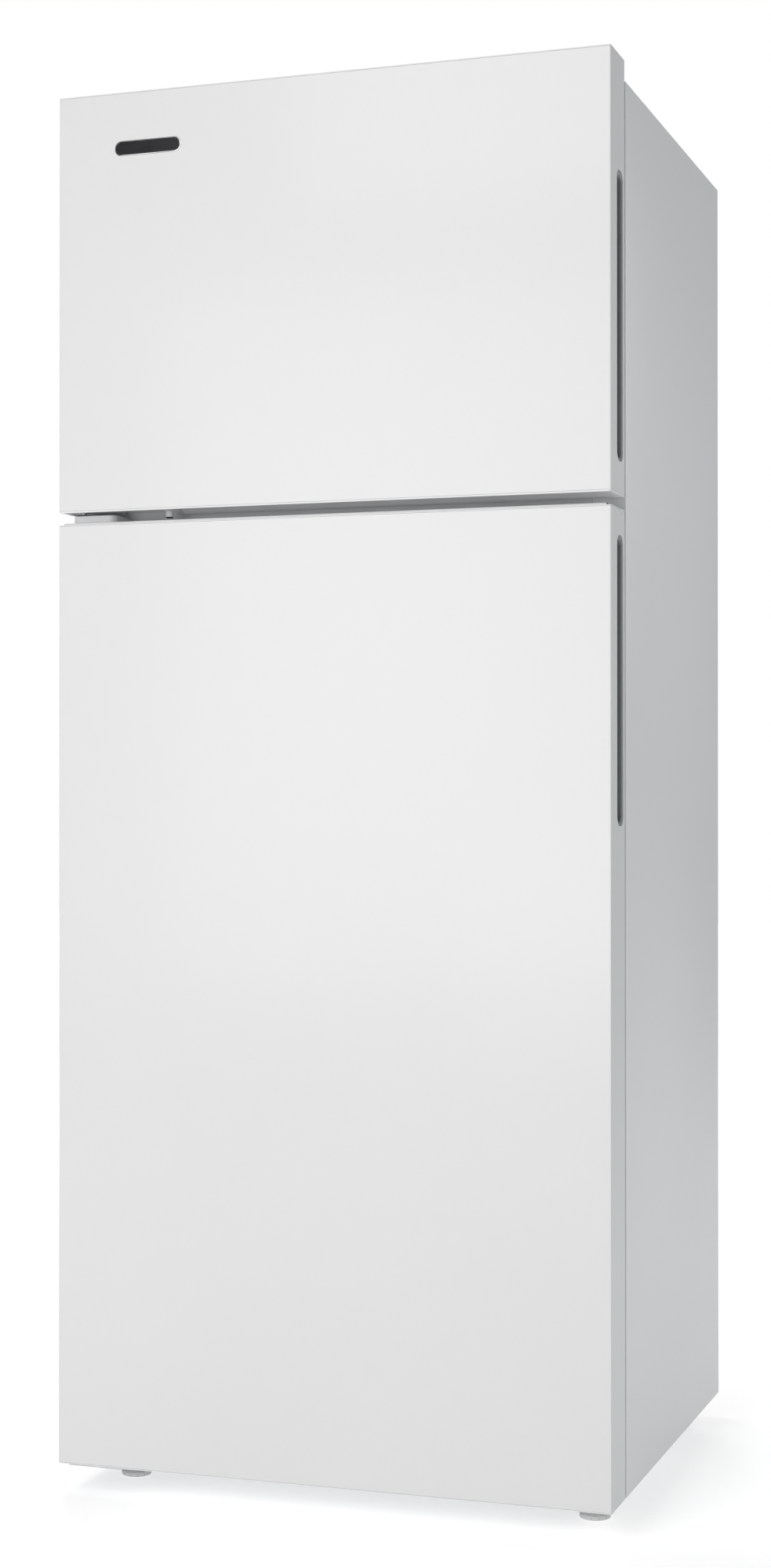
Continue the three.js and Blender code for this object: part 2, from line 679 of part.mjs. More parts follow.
function iceBin() {
  const x = [ICE.x0 + 6, ICE.x1 - 6];
  const body = tub(x, [ICE.y0, ICE.y1 - 6], [ICE.z0 + 2 + FIT, 1528], 2.5, 10);
  const pull = prism(
    "y",
    roundRect([TRAY_X.left, TRAY_X.right], [1490, 1512], 5),
    [ICE.y0 - 8, ICE.y0 + 1],
    1,
  );
  add("ice_bin", join(body, pull), frost);
}

// ---------------------------------------------------------------- fridge fittings

// Raised air duct on the back wall, with outlets above each shelf.
function ductPanel() {
  let duct = prism("z", [[-95, 240.7], [-80, 226], [80, 226], [95, 240.7]].reverse(), [480, 1120]);
  for (const z of [640, 830, 1020]) {
    for (const x of [-42, 42]) {
      duct = duct.subtract(prism("y", roundRect([x - 26, x + 26], [z, z + 12], 5), [220, 236], 1));
    }
  }
  add("duct_panel", duct, inner);
}

const CONTROL = { half: 150, front: -150, back: 60, low: 1138 };
const KNOB = { x: 92, z: 1155, r: 15 };

function controlHousing() {
  const z = [CONTROL.low, FRIDGE.ceiling - FIT];
  const outline = [
    [CONTROL.front, z[0] + 4], [CONTROL.front + 4, z[0]], [CONTROL.back - 16, z[0]],
    [CONTROL.back, z[0] + 16], [CONTROL.back, z[1]], [CONTROL.front, z[1]],
  ];
  const body = prism("x", outline, [-CONTROL.half, CONTROL.half]);
  const bore = rod("y", [KNOB.x, KNOB.z], 4 + PIN_CLEAR, [CONTROL.front - 1, CONTROL.front + 12], 16);
  const lens = prism("z", roundRect([-110, 20], [-136, 30], 10), [z[0] - 5, z[0] + 1], 2);
  add("control_housing", cut(join(body, lens), bore), inner);
}

function temperatureKnob() {
  const dial = rod("y", [KNOB.x, KNOB.z], KNOB.r, [CONTROL.front - 7, CONTROL.front - FIT], 28);
  const bar = roundRect([KNOB.x - 3.5, KNOB.x + 3.5], [KNOB.z - 13, KNOB.z + 13], 3);
  const shaft = rod("y", [KNOB.x, KNOB.z], 4, [CONTROL.front - 2, CONTROL.front + 10], 16);
  add(
    "temperature_knob",
    join(dial, prism("y", bar, [CONTROL.front - 14, CONTROL.front - 6], 1), shaft),
    trim,
  );
}

// A glass shelf with a moulded nose along its front edge and a stop along the back.
function glassShelf(z0, half = FRIDGE.half - 1) {
  const z = z0 + FIT;
  const glass = box([-half, half], [SHELF_FRONT, SHELF_BACK], [z, z + 5]);
  const nose = prism(
    "x",
    roundRect([SHELF_FRONT - 6, SHELF_FRONT + 7], [z - 6, z + 9], 3),
    [-half + 14, half - 14],
    2,
  );
  const stop = box([-half + 20, half - 20], [SHELF_BACK - 8, SHELF_BACK], [z + 1, z + 18]);
  return join(glass, nose, stop);
}

const DELI = { x0: 8, x1: 272, y0: -138, y1: 196, z0: 462, z1: 548 };

function fridgeShelves() {
  add("fridge_shelf_upper", glassShelf(SHELF_Z.upper), clear);
  add("fridge_shelf_middle", glassShelf(SHELF_Z.middle), clear);
  const lip = [[DELI.x0 - 10, DELI.x0 - 2], [DELI.x1 + 2, DELI.x1 + 10]];
  const y = [DELI.y0 + 6, DELI.y1];
  const hangers = lip.flatMap(([a, b], i) => [
    box([i ? b - 3 : a, i ? b : a + 3], y, [DELI.z1 - 6, SHELF_Z.lower + 2]),
    box([a, b], y, [DELI.z1 - 6, DELI.z1 - 3]),
  ]);
  add("fridge_shelf_lower", join(glassShelf(SHELF_Z.lower), ...hangers), clear);
}

// Drawer with rims that slide on the lower shelf's hangers.
function deliDrawer() {
  const body = tub([DELI.x0, DELI.x1], [DELI.y0, DELI.y1], [DELI.z0, DELI.z1], 3, 12);
  const rims = [[DELI.x0 - 6, DELI.x0 + 1], [DELI.x1 - 1, DELI.x1 + 6]].map((x) =>
    box(x, [DELI.y0 + 14, DELI.y1 - 14], [DELI.z1 - 3 + FIT, DELI.z1]),
  );
  const pull = prism(
    "x",
    roundRect([DELI.y0 - 9, DELI.y0 + 1], [DELI.z1 - 16, DELI.z1], [6, 0, 0, 2]),
    [76, 204],
    2,
  );
  add("deli_drawer", join(body, ...rims, pull), clear);
}

const SLIDER = { x: 60, travel: 40, y: SHELF_FRONT - 6 };

// Glass lid over the crisper, with a track for the humidity slider in its nose.
function crisperCover() {
  const z = SHELF_Z.cover + FIT;
  const half = FRIDGE.half - 1;
  const nose = box([-half + 14, half - 14], [SLIDER.y, SHELF_FRONT + 7], [z - 8, z + 14]);
  const track = box(
    [SLIDER.x - 12, SLIDER.x + SLIDER.travel + 12],
    [SLIDER.y - 1, SLIDER.y + 5],
    [z - 2, z + 8],
  );
  const glass = box([-half, half], [SHELF_FRONT, SHELF_BACK], [z, z + 5]);
  add("crisper_cover", cut(join(glass, nose), track), clear);
}

function humiditySlider() {
  const z = SHELF_Z.cover + FIT;
  const shoe = box([SLIDER.x - 11, SLIDER.x + 11], [SLIDER.y + 0.5, SLIDER.y + 4.5], [z - 1.5, z + 7.5]);
  const thumb = box([SLIDER.x - 3, SLIDER.x + 3], [SLIDER.y - 5, SLIDER.y + 1], [z - 0.5, z + 6.5]);
  add("humidity_slider", join(shoe, thumb), trim);
}

// Full-width vegetable drawer, its rims on the liner's lowest runners.
function crisperDrawer() {
  const half = FRIDGE.half - RUNNER - 3;
  const y = [-138, STEP.wall - 6];
  const z = [FRIDGE.floor + 5, CRISPER_RAIL + 6];
  const body = tub([-half, half], y, z, 3, 14);
  const rims = mirrored(
    half - 1,
    half + 10,
    [y[0] + 16, y[1] - 16],
    [CRISPER_RAIL + FIT, CRISPER_RAIL + 4],
  );
  const pull = prism(
    "x",
    roundRect([y[0] - 11, y[0] + 1], [z[1] - 20, z[1]], [8, 0, 0, 2]),
    [-150, 150],
    2,
  );
  add("crisper_drawer", join(body, rims, pull), clear);
}

// ---------------------------------------------------------------- doors

const RIM = 1.4; // visible edge of the moulded end caps
const HINGE_POCKET = { x: LEFT + 46, z: CAB_TOP - 4 };

// Plan outline of a door, shrunk inwards by g.
function doorPlan(g) {
  const radii = [2.5, 2.5, 1.2, 6].map((r) => Math.max(r - g, 0.4));
  return roundRect([LEFT + g, RIGHT - g], [FRONT + g, DOOR_BACK - g], radii);
}

// Outline of a grip slot in Y and Z, grown outwards by g.
function gripOutline([z0, z1], g) {
  const half = GRIP.half + g;
  return roundRect([GRIP.y - half, GRIP.y + half], [z0 - g, z1 + g], GRIP.corner + g);
}

function gripHole(z, grow, deep) {
  return prism("x", gripOutline(z, grow), [RIGHT - deep, RIGHT + 1]);
}

// The corner at the top left that stays clear for the top hinge.
function hingePocket(grow) {
  return box(
    [LEFT - 1, HINGE_POCKET.x + grow],
    [FRONT + 2.5 - grow, DOOR_BACK + 1],
    [HINGE_POCKET.z - grow, HEIGHT + 1],
  );
}

const BADGE = { x: [LEFT + 75.5, LEFT + 162.5], z: [HEIGHT - 78, HEIGHT - 60], back: FRONT + 2 };

// A plain bar on the freezer door, let into the skin.
function badge(grow) {
  const [x, z] = [BADGE.x, BADGE.z].map(([a, b]) => [a - grow, b + grow]);
  return prism("y", roundRect(x, z, 8.5), [FRONT - grow, BADGE.back + grow], 3);
}

function capBore([z0, z1]) {
  return rod("z", [PIN.x, PIN.y], PIN.r + PIN_CLEAR, [z0, z1], 16);
}

const LINER_Y = [DOOR_BACK - 4, DOOR_BACK - 1.5];

// The pieces that both doors share: skin, foam, grip cup, liner and gasket.
function doorShell(name, [z0, z1], capLow, capHigh, gripZ, upper) {
  const trimmed = (made) => (upper ? cut(made, hingePocket(0), badge(FIT)) : made);
  const ends = [z0 + RIM + FIT, z1 - RIM - FIT];
  const rearHole = box([LEFT + 11, RIGHT - 11], [DOOR_BACK - 3, DOOR_BACK + 1], [ends[0] - 1, ends[1] + 1]);
  const room = prism("z", doorPlan(SHEET), [ends[0] - 1, ends[1] + 1], 2);
  const skin = cut(prism("z", doorPlan(0), ends, 2), room, rearHole, gripHole(gripZ, FIT, 5));
  add(`${name}_skin`, trimmed(skin), paint);

  const foamZ = [capLow + FIT, capHigh - FIT];
  const plan = doorPlan(SHEET + FIT);
  const behind = box([LEFT - 1, RIGHT + 1], [LINER_Y[0] - FIT, DOOR_BACK + 1], [z0, z1]);
  const fill = cut(prism("z", plan, foamZ, 2), behind, gripHole(gripZ, FIT, GRIP.deep + FIT));
  add(`${name}_foam`, trimmed(fill), foam);

  const cup = prism("x", gripOutline(gripZ, 0), [RIGHT - GRIP.deep, RIGHT - 0.2]);
  const hollow = prism("x", gripOutline(gripZ, -GRIP.wall), [RIGHT - GRIP.deep + 2.5, RIGHT + 1]);
  add(`${name}_grip`, cut(cup, hollow), grip);
}

// Liner plate with a raised ring that reaches into the cabinet opening.
function doorLiner(name, [z0, z1], half, [low, high]) {
  const plate = box([LEFT + 6.5, RIGHT - 6.5], LINER_Y, [z0, z1]);
  const ring = prism("y", roundRect([-half, half], [low, high], 14), [LINER_Y[0], DYKE_BACK], 2);
  const room = prism(
    "y",
    roundRect([-half + 18, half - 18], [low + 18, high - 18], 10),
    [LINER_Y[1], DYKE_BACK + 1],
    2,
  );
  add(`${name}_liner`, join(plate, cut(ring, room)), inner);
}

const GASKET = { inset: 20, wide: 14 };

function doorGasket(name, [low, high]) {
  const half = RIGHT - GASKET.inset;
  const y = [LINER_Y[1] + FIT, CAB_FRONT - FIT];
  const w = GASKET.wide;
  const ring = prism("y", roundRect([-half, half], [low, high], 6), y, 1);
  const hole = prism(
    "y",
    roundRect([-half + w, half - w], [low + w, high - w], 2),
    [y[0] - 1, y[1] + 1],
    1,
  );
  add(`${name}_gasket`, cut(ring, hole), seal);
}

// An end cap: a block inside the skin with a thin rim that covers the skin's edge.
// rim and body are ranges in Z.
function endCap(rim, body) {
  const block = prism("z", doorPlan(SHEET + FIT), body, 2);
  const edge = prism("z", doorPlan(0), rim, 2);
  const behind = box([LEFT - 1, RIGHT + 1], [LINER_Y[0] - FIT, DOOR_BACK + 1], [body[0] - 1, body[1] + 1]);
  return join(cut(block, behind), edge);
}

const CAP = 22; // how far the end caps reach into the doors

function freezerDoor() {
  const z = [FREEZER_DOOR_Z, HEIGHT];
  const capLow = z[0] + CAP;
  const capHigh = HINGE_POCKET.z - 12;
  doorShell("freezer_door", z, capLow, capHigh, FREEZER_GRIP, true);
  doorLiner(
    "freezer_door",
    [capLow + FIT, capHigh - FIT],
    FREEZER.half - 12,
    [FREEZER.floor + 12, FREEZER.ceiling - 12],
  );
  doorGasket("freezer_door", [1217, 1680]);
  add("freezer_door_badge", badge(0), black);

  const top = endCap([z[1] - RIM, z[1]], [capHigh, z[1] - RIM + 0.5]);
  add(
    "freezer_door_top_cap",
    cut(top, hingePocket(0), capBore([HINGE_POCKET.z - 13, HINGE_POCKET.z + 1])),
    trim,
  );

  // The underside is coved, with a shallow recess over the mid hinge and a round stop beside it.
  const bottom = endCap([z[0], z[0] + RIM], [z[0] + RIM - 0.5, capLow]);
  const recess = box([LEFT + 4, LEFT + 136], [FRONT + 8, DOOR_BACK + 1], [z[0] - 1, z[0] + 3]);
  const cove = new THREE.Shape();
  cove.moveTo(FRONT + 3, z[0] - 1);
  cove.lineTo(FRONT + 3, z[0]);
  cove.quadraticCurveTo(FRONT + 30, z[0] + 18, DOOR_BACK - 6, z[0]);
  cove.lineTo(DOOR_BACK - 6, z[0] - 1);
  const channel = prism("x", cove, [LEFT + 141, RIGHT - 4], 8);
  const bore = capBore([z[0] - 1, z[0] + 15]);
  const stop = rod("z", [LEFT + 131, FRONT + 40], 5, [z[0] - 7, z[0] + 4], 16);
  add("freezer_door_bottom_cap", join(cut(bottom, recess, channel, bore), stop), trim);
}

function fridgeDoor() {
  const z = [BASE_GAP, FRIDGE_DOOR_TOP];
  const capLow = z[0] + CAP;
  const capHigh = z[1] - CAP;
  doorShell("fridge_door", z, capLow, capHigh, FRIDGE_GRIP, false);
  doorLiner(
    "fridge_door",
    [capLow + FIT, capHigh - FIT],
    FRIDGE.half - 12,
    [FRIDGE.floor + 12, FRIDGE.ceiling - 12],
  );
  doorGasket("fridge_door", [64, 1192]);

  const top = endCap([z[1] - RIM, z[1]], [capHigh, z[1] - RIM + 0.5]);
  const upstand = box([LEFT + 5, RIGHT - 5], [FRONT + 4, FRONT + 6.5], [z[1] - 1, z[1] + 2.4]);
  add("fridge_door_top_cap", cut(join(top, upstand), capBore([z[1] - 15, z[1] + 1])), trim);
  const bottom = endCap([z[0], z[0] + RIM], [z[0] + RIM - 0.5, capLow]);
  add("fridge_door_bottom_cap", cut(bottom, capBore([z[0] - 1, z[0] + 15])), trim);
}

// ---------------------------------------------------------------- door bins

// A door bin that hangs on the door liner.
function doorBin(half, depth, [z0, z1], corner = 10) {
  return tub([-half, half], [LINER_Y[1] + FIT, LINER_Y[1] + FIT + depth], [z0, z1], 3, corner);
}

const DAIRY = { z: [930, 1020], half: FRIDGE.half - 32, depth: 92 };

function doorBins() {
  const freezerHalf = FREEZER.half - 32;
  add("freezer_bin_upper", doorBin(freezerHalf, 84, [1440, 1526], 3), clear);
  add("freezer_bin_lower", doorBin(freezerHalf, 84, [1276, 1362], 3), clear);
  add("middle_bin", doorBin(DAIRY.half, 99, [630, 716]), clear);
  add("bottle_bin", doorBin(DAIRY.half, 99, [186, 310]), clear);
}

const LID_PIVOT = { y: LINER_Y[1] + 12, z: DAIRY.z[1] + 8 };

// Dairy box with ears for the lid's pivots.
function dairyBox() {
  const { z, half, depth } = DAIRY;
  let body = doorBin(half, depth, z);
  const ear = [
    [LID_PIVOT.y - 7, z[1] - 12],
    [LID_PIVOT.y + 12, z[1] - 12],
    [LID_PIVOT.y + 7, LID_PIVOT.z + 6],
    [LID_PIVOT.y - 7, LID_PIVOT.z + 6],
  ];
  for (const x of [[-half, -half + 3], [half - 3, half]]) body = body.add(prism("x", ear, x));
  const bores = rod("x", [LID_PIVOT.y, LID_PIVOT.z], 3.2, [-half - 1, half + 1], 12);
  add("dairy_box", cut(body, bores), clear);
}

function dairyLid() {
  const half = DAIRY.half - 4;
  const y1 = LINER_Y[1] + DAIRY.depth + 5;
  const z = DAIRY.z[1] + 1;
  const outline = [
    [LID_PIVOT.y - 4, LID_PIVOT.z - 5], [LID_PIVOT.y + 6, z], [y1 - 2.5, z], [y1 - 2.5, z - 36], [
      y1,
      z - 36,
    ],
    [y1, z + 3], [LID_PIVOT.y + 7, z + 6], [LID_PIVOT.y + 4, LID_PIVOT.z + 5], [
      LID_PIVOT.y - 4,
      LID_PIVOT.z + 5,
    ],
    [LID_PIVOT.y - 5.5, LID_PIVOT.z],
  ];
  const lid = prism("x", outline, [-half, half]);
  const pins = rod("x", [LID_PIVOT.y, LID_PIVOT.z], 2.5, [-half - 3.5, half + 3.5], 12);
  add("dairy_lid", join(lid, pins), frost);
}

// ---------------------------------------------------------------- assembly

cabinetWrap();
backPanel();
cabinetFoam();
fridgeLiner();
freezerLiner();
centreRail();
baseDeck();
compressorPlate();
rollers();
compressor();
evaporatingTray();
machineCover();
topHinge();
topHingeCover();
midHinge();
bottomHinge();
levellingFeet();
evaporator();
evaporatorCover();
fanMotor();
fanBlade();
freezerShelf();
iceMakerFrame();
iceTrays();
iceBin();
ductPanel();
controlHousing();
temperatureKnob();
doorSwitch();
fridgeShelves();
deliDrawer();
crisperCover();
humiditySlider();
crisperDrawer();
freezerDoor();
fridgeDoor();
doorBins();
dairyBox();
dairyLid();

export default fridge;
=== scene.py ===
import json
import math

import bmesh
import bpy
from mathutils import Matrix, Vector


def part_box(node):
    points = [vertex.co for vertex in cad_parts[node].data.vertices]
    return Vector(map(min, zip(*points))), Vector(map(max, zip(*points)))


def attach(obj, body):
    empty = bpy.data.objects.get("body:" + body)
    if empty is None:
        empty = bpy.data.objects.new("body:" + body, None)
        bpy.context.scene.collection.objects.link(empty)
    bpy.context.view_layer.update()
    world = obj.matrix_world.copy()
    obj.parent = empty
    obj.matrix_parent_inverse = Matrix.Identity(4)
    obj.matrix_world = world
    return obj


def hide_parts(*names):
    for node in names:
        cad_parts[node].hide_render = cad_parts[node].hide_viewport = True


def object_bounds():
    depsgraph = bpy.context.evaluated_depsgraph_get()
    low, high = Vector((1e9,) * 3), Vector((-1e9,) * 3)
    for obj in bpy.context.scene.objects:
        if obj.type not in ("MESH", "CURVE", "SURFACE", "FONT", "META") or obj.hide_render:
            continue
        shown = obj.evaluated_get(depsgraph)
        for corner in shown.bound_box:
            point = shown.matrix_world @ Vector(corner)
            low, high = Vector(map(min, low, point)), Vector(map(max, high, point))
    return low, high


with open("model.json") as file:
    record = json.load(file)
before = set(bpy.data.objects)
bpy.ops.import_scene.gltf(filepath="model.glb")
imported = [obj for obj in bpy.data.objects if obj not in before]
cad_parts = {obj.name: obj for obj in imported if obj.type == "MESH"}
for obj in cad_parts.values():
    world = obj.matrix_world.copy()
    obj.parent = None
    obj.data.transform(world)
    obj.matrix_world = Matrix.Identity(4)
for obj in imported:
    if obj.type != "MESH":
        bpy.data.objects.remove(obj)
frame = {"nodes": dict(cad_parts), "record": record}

cad_low, cad_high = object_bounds()


# ---------------------------------------------------------------- materials

def new_material(name):
    mat = bpy.data.materials.new(name)
    mat.use_nodes = True
    return mat, mat.node_tree.nodes, mat.node_tree.links, mat.node_tree.nodes["Principled BSDF"]


def noise_node(nodes, links, scale, detail=2.0, stretch=(1, 1, 1), kind="noise"):
    coords = nodes.new("ShaderNodeTexCoord")
    mapping = nodes.new("ShaderNodeMapping")
    mapping.inputs["Scale"].default_value = stretch
    links.new(coords.outputs["Object"], mapping.inputs["Vector"])
    tex = nodes.new("ShaderNodeTexVoronoi" if kind == "voronoi" else "ShaderNodeTexNoise")
    tex.inputs["Scale"].default_value = scale
    if kind == "noise":
        tex.inputs["Detail"].default_value = detail
    links.new(mapping.outputs["Vector"], tex.inputs["Vector"])
    return tex


def ramp(nodes, links, source, low, high, start=0.3, end=0.7):
    node = nodes.new("ShaderNodeValToRGB")
    node.color_ramp.elements[0].position = start
    node.color_ramp.elements[1].position = end
    node.color_ramp.elements[0].color = (*low, 1)
    node.color_ramp.elements[1].color = (*high, 1)
    links.new(source, node.inputs["Fac"])
    return node.outputs["Color"]


def shaded(colour, factor):
    return tuple(min(c * factor, 1.0) for c in colour)


def moulded(name, colour, rough, vary=0.03, mottle=6.0, grain=900.0, bump=0.05, depth=0.0002,
            metal=0.0, coat=0.0, transmission=0.0, ior=1.46, kind="noise", stretch=(1, 1, 1)):
    """A surface with faint mottling of its colour and roughness and a fine grain in its bump."""
    mat, nodes, links, bsdf = new_material(name)
    cloud = noise_node(nodes, links, mottle, 3.0)
    links.new(
        ramp(nodes, links, cloud.outputs[0], shaded(colour, 1 - vary), shaded(colour, 1 + vary / 2)),
        bsdf.inputs["Base Color"],
    )
    spread = nodes.new("ShaderNodeMapRange")
    spread.inputs["To Min"].default_value = max(rough - 0.05, 0.02)
    spread.inputs["To Max"].default_value = rough + 0.05
    links.new(cloud.outputs[0], spread.inputs["Value"])
    links.new(spread.outputs[0], bsdf.inputs["Roughness"])
    fine = noise_node(nodes, links, grain, 2.0, stretch, kind)
    height = nodes.new("ShaderNodeBump")
    height.inputs["Strength"].default_value = bump
    height.inputs["Distance"].default_value = depth
    links.new(fine.outputs[0], height.inputs["Height"])
    links.new(height.outputs["Normal"], bsdf.inputs["Normal"])
    bsdf.inputs["Metallic"].default_value = metal
    bsdf.inputs["Coat Weight"].default_value = coat
    bsdf.inputs["Coat Roughness"].default_value = 0.12
    bsdf.inputs["Transmission Weight"].default_value = transmission
    bsdf.inputs["IOR"].default_value = ior
    return mat


looks = {
    "paint": moulded("enamel", (0.86, 0.86, 0.855), 0.34, 0.012, 2.5, 420, 0.06, 0.00012, coat=0.15),
    # side: the same white enamel as paint, made darker and a little rougher; the darkening is painted shade
    # for faces that point along X.
    "side": moulded("enamel_painted_side_shade", (0.80, 0.815, 0.82), 0.40, 0.015, 2.0, 620, 0.12, 0.00016),
    "trim": moulded("trim_plastic", (0.92, 0.925, 0.93), 0.45, 0.02, 14, 1500, 0.06),
    "liner": moulded("liner_plastic", (0.83, 0.84, 0.84), 0.28, 0.015, 3.0, 160, 0.05, 0.0004),
    "gasket": moulded("gasket_vinyl", (0.74, 0.75, 0.755), 0.62, 0.05, 30, 1200, 0.08),
    "grip": moulded("grip_plastic", (0.27, 0.275, 0.285), 0.5, 0.08, 40, 1400, 0.12),
    "foam": moulded("foam_fill", (0.78, 0.70, 0.44), 0.9, 0.08, 24, 260, 0.5, 0.0008, kind="voronoi"),
    "zinc": moulded(
        "galvanised_steel", (0.55, 0.57, 0.58), 0.38, 0.14, 42, 60, 0.05, metal=0.9, kind="voronoi"
    ),
    "black_paint": moulded("compressor_enamel", (0.022, 0.022, 0.024), 0.32, 0.1, 9, 500, 0.1, coat=0.2),
    "black": moulded("black_plastic", (0.03, 0.03, 0.032), 0.45, 0.1, 30, 1300, 0.12),
    "fins": moulded(
        "fin_aluminium", (0.68, 0.70, 0.71), 0.35, 0.06, 20, 700, 0.12, metal=1.0, stretch=(1, 1, 0.02)
    ),
    "clear": moulded(
        "clear_plastic", (0.93, 0.96, 0.97), 0.06, 0.01, 8, 300, 0.02, transmission=0.92, ior=1.49
    ),
    "glass": moulded("shelf_glass", (0.90, 0.96, 0.94), 0.05, 0.01, 4, 200, 0.01, transmission=0.95, ior=1.5),
    "frost": moulded("frosted_plastic", (0.82, 0.88, 0.91), 0.35, 0.02, 12, 500, 0.08, transmission=0.35),
    "badge": moulded("badge_lacquer", (0.012, 0.012, 0.014), 0.2, 0.1, 60, 900, 0.02, coat=0.5),
    "satin": moulded(
        "satin_metal", (0.66, 0.67, 0.68), 0.3, 0.05, 50, 1100, 0.08, metal=1.0, stretch=(0.03, 1, 1)
    ),
    "screw": moulded("screw_zinc", (0.60, 0.61, 0.61), 0.3, 0.1, 120, 900, 0.06, metal=1.0),
    "steel": moulded("bright_steel", (0.62, 0.63, 0.64), 0.25, 0.06, 80, 1200, 0.05, metal=1.0),
    "hinge": moulded("hinge_plastic", (0.90, 0.905, 0.91), 0.42, 0.03, 20, 1300, 0.06),
    "foot": moulded("foot_plastic", (0.78, 0.785, 0.79), 0.5, 0.04, 30, 900, 0.1),
    "rubber": moulded("black_rubber", (0.028, 0.028, 0.029), 0.8, 0.12, 60, 900, 0.2),
    "copper": moulded("copper_pipe", (0.80, 0.42, 0.28), 0.28, 0.16, 60, 500, 0.08, metal=1.0),
    "tray": moulded("tray_plastic", (0.62, 0.63, 0.63), 0.5, 0.05, 10, 800, 0.1),
    "shelf_trim": moulded("shelf_trim_plastic", (0.84, 0.85, 0.855), 0.35, 0.02, 16, 1100, 0.05),
    "knob": moulded("knob_plastic", (0.58, 0.60, 0.62), 0.38, 0.05, 40, 1200, 0.08),
    "lens": moulded("lens_plastic", (0.90, 0.92, 0.90), 0.3, 0.02, 10, 700, 0.2, transmission=0.3),
}

node_looks = {
    # cabinet_wrap and centre_rail take the darker side enamel: painted shade on white paint.
    "side": ["cabinet_wrap", "centre_rail"],
    "paint": ["freezer_door_skin", "fridge_door_skin"],
    "zinc": ["back_panel", "base_deck", "compressor_plate", "top_hinge", "bottom_hinge"],
    "trim": [
        "mid_hinge", "top_hinge_cover", "freezer_door_top_cap", "freezer_door_bottom_cap",
        "fridge_door_top_cap", "fridge_door_bottom_cap", "temperature_knob", "humidity_slider",
        "door_switch_plunger", "fan_blade", "evaporating_tray",
    ],
    "liner": [
        "fridge_liner", "freezer_liner", "freezer_door_liner", "fridge_door_liner", "evaporator_cover",
        "duct_panel", "control_housing", "ice_maker_frame",
    ],
    "gasket": ["freezer_door_gasket", "fridge_door_gasket"],
    "grip": ["freezer_door_grip", "fridge_door_grip"],
    "foam": ["cabinet_foam", "freezer_door_foam", "fridge_door_foam"],
    "black_paint": ["compressor"],
    "black": [
        "rear_roller_left", "rear_roller_right", "levelling_foot_left", "levelling_foot_right",
        "fan_motor", "machine_cover",
    ],
    "badge": ["freezer_door_badge"],
    "fins": ["evaporator"],
    "clear": [
        "freezer_bin_upper", "freezer_bin_lower", "middle_bin", "bottle_bin", "dairy_box",
        "crisper_drawer", "deli_drawer",
    ],
    "glass": [
        "freezer_shelf", "fridge_shelf_upper", "fridge_shelf_middle", "fridge_shelf_lower", "crisper_cover"
    ],
    "frost": ["ice_tray_left", "ice_tray_right", "ice_bin", "dairy_lid"],
}

for look, names in node_looks.items():
    for name in names:
        obj = frame["nodes"][name]
        obj.data.materials.clear()
        obj.data.materials.append(looks[look])

# ---------------------------------------------------------------- mesh helpers

scene = bpy.context.scene


LEAST_RADIUS = 0.00015


def outline(u, v, r, inset=0.0, steps=6):
    """A rounded rectangle, anticlockwise, as (u, v) points. r is one radius, or four from the low corner."""
    u0, u1 = u[0] + inset, u[1] - inset
    v0, v1 = v[0] + inset, v[1] - inset
    radii = r if hasattr(r, "__len__") else (r,) * 4
    a, b, c, d = (max(k - inset, LEAST_RADIUS) for k in radii)
    corners = (
        (u1 - b, v0 + b, b, -90), (u1 - c, v1 - c, c, 0), (u0 + d, v1 - d, d, 90), (u0 + a, v0 + a, a, 180)
    )
    points = []
    for cu, cv, radius, start in corners:
        for i in range(steps + 1):
            angle = math.radians(start + 90 * i / steps)
            points.append((cu + radius * math.cos(angle), cv + radius * math.sin(angle)))
    return points


def placed(axis, u, v, w):
    """(u, v) on an outline at height w along an axis, as X, Y, Z."""
    return {"x": (w, u, v), "y": (u, w, v), "z": (u, v, w)}[axis]


def flatten_shading(obj):
    """Keeps wide faces flat where they meet small rounded edges."""
    weighted = obj.modifiers.new("weighted_normals", "WEIGHTED_NORMAL")
    weighted.keep_sharp = True
    weighted.weight = 90


def piece(name, body, look, verts, faces, replaces=(), slot=None, smooth=40):
    mesh = bpy.data.meshes.new(name)
    mesh.from_pydata(verts, [], faces)
    bm = bmesh.new()
    bm.from_mesh(mesh)
    bmesh.ops.remove_doubles(bm, verts=bm.verts, dist=1e-7)
    bmesh.ops.recalc_face_normals(bm, faces=bm.faces)
    for edge in bm.edges:
        edge.smooth = len(edge.link_faces) == 2 and edge.calc_face_angle(0) < math.radians(smooth)
    for face in bm.faces:
        face.smooth = True
    bm.to_mesh(mesh)
    bm.free()
    obj = bpy.data.objects.new(name, mesh)
    mesh.materials.append(looks[look])
    scene.collection.objects.link(obj)
    flatten_shading(obj)
    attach(obj, body)
    if replaces:
        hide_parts(*replaces)
    return obj


def rounded_rings(axis, u, v, r, levels, steps=6):
    """Rounded rectangles round one axis, one for each (inset, level)."""
    return [[placed(axis, a, b, level) for a, b in outline(u, v, r, inset, steps)] for inset, level in levels]


def round_rings(axis, centre, profile, sides):
    """Circles round one axis, one for each (radius, level)."""
    rings = []
    for radius, level in profile:
        ring = []
        for i in range(sides):
            angle = 2 * math.pi * i / sides
            u, v = centre[0] + radius * math.cos(angle), centre[1] + radius * math.sin(angle)
            ring.append(placed(axis, u, v, level))
        rings.append(ring)
    return rings


def loft(rings, closed=False):
    """Verts and faces through rings of equally many points. closed joins the last ring to the first."""
    count = len(rings[0])
    verts = [point for ring in rings for point in ring]
    faces = []
    for k in range(len(rings) if closed else len(rings) - 1):
        here, there = k * count, ((k + 1) % len(rings)) * count
        for i in range(count):
            j = (i + 1) % count
            faces.append((here + i, here + j, there + j, there + i))
    if not closed:
        faces.append(tuple(range(count)))
        faces.append(tuple(range((len(rings) - 1) * count, len(rings) * count)))
    return verts, faces


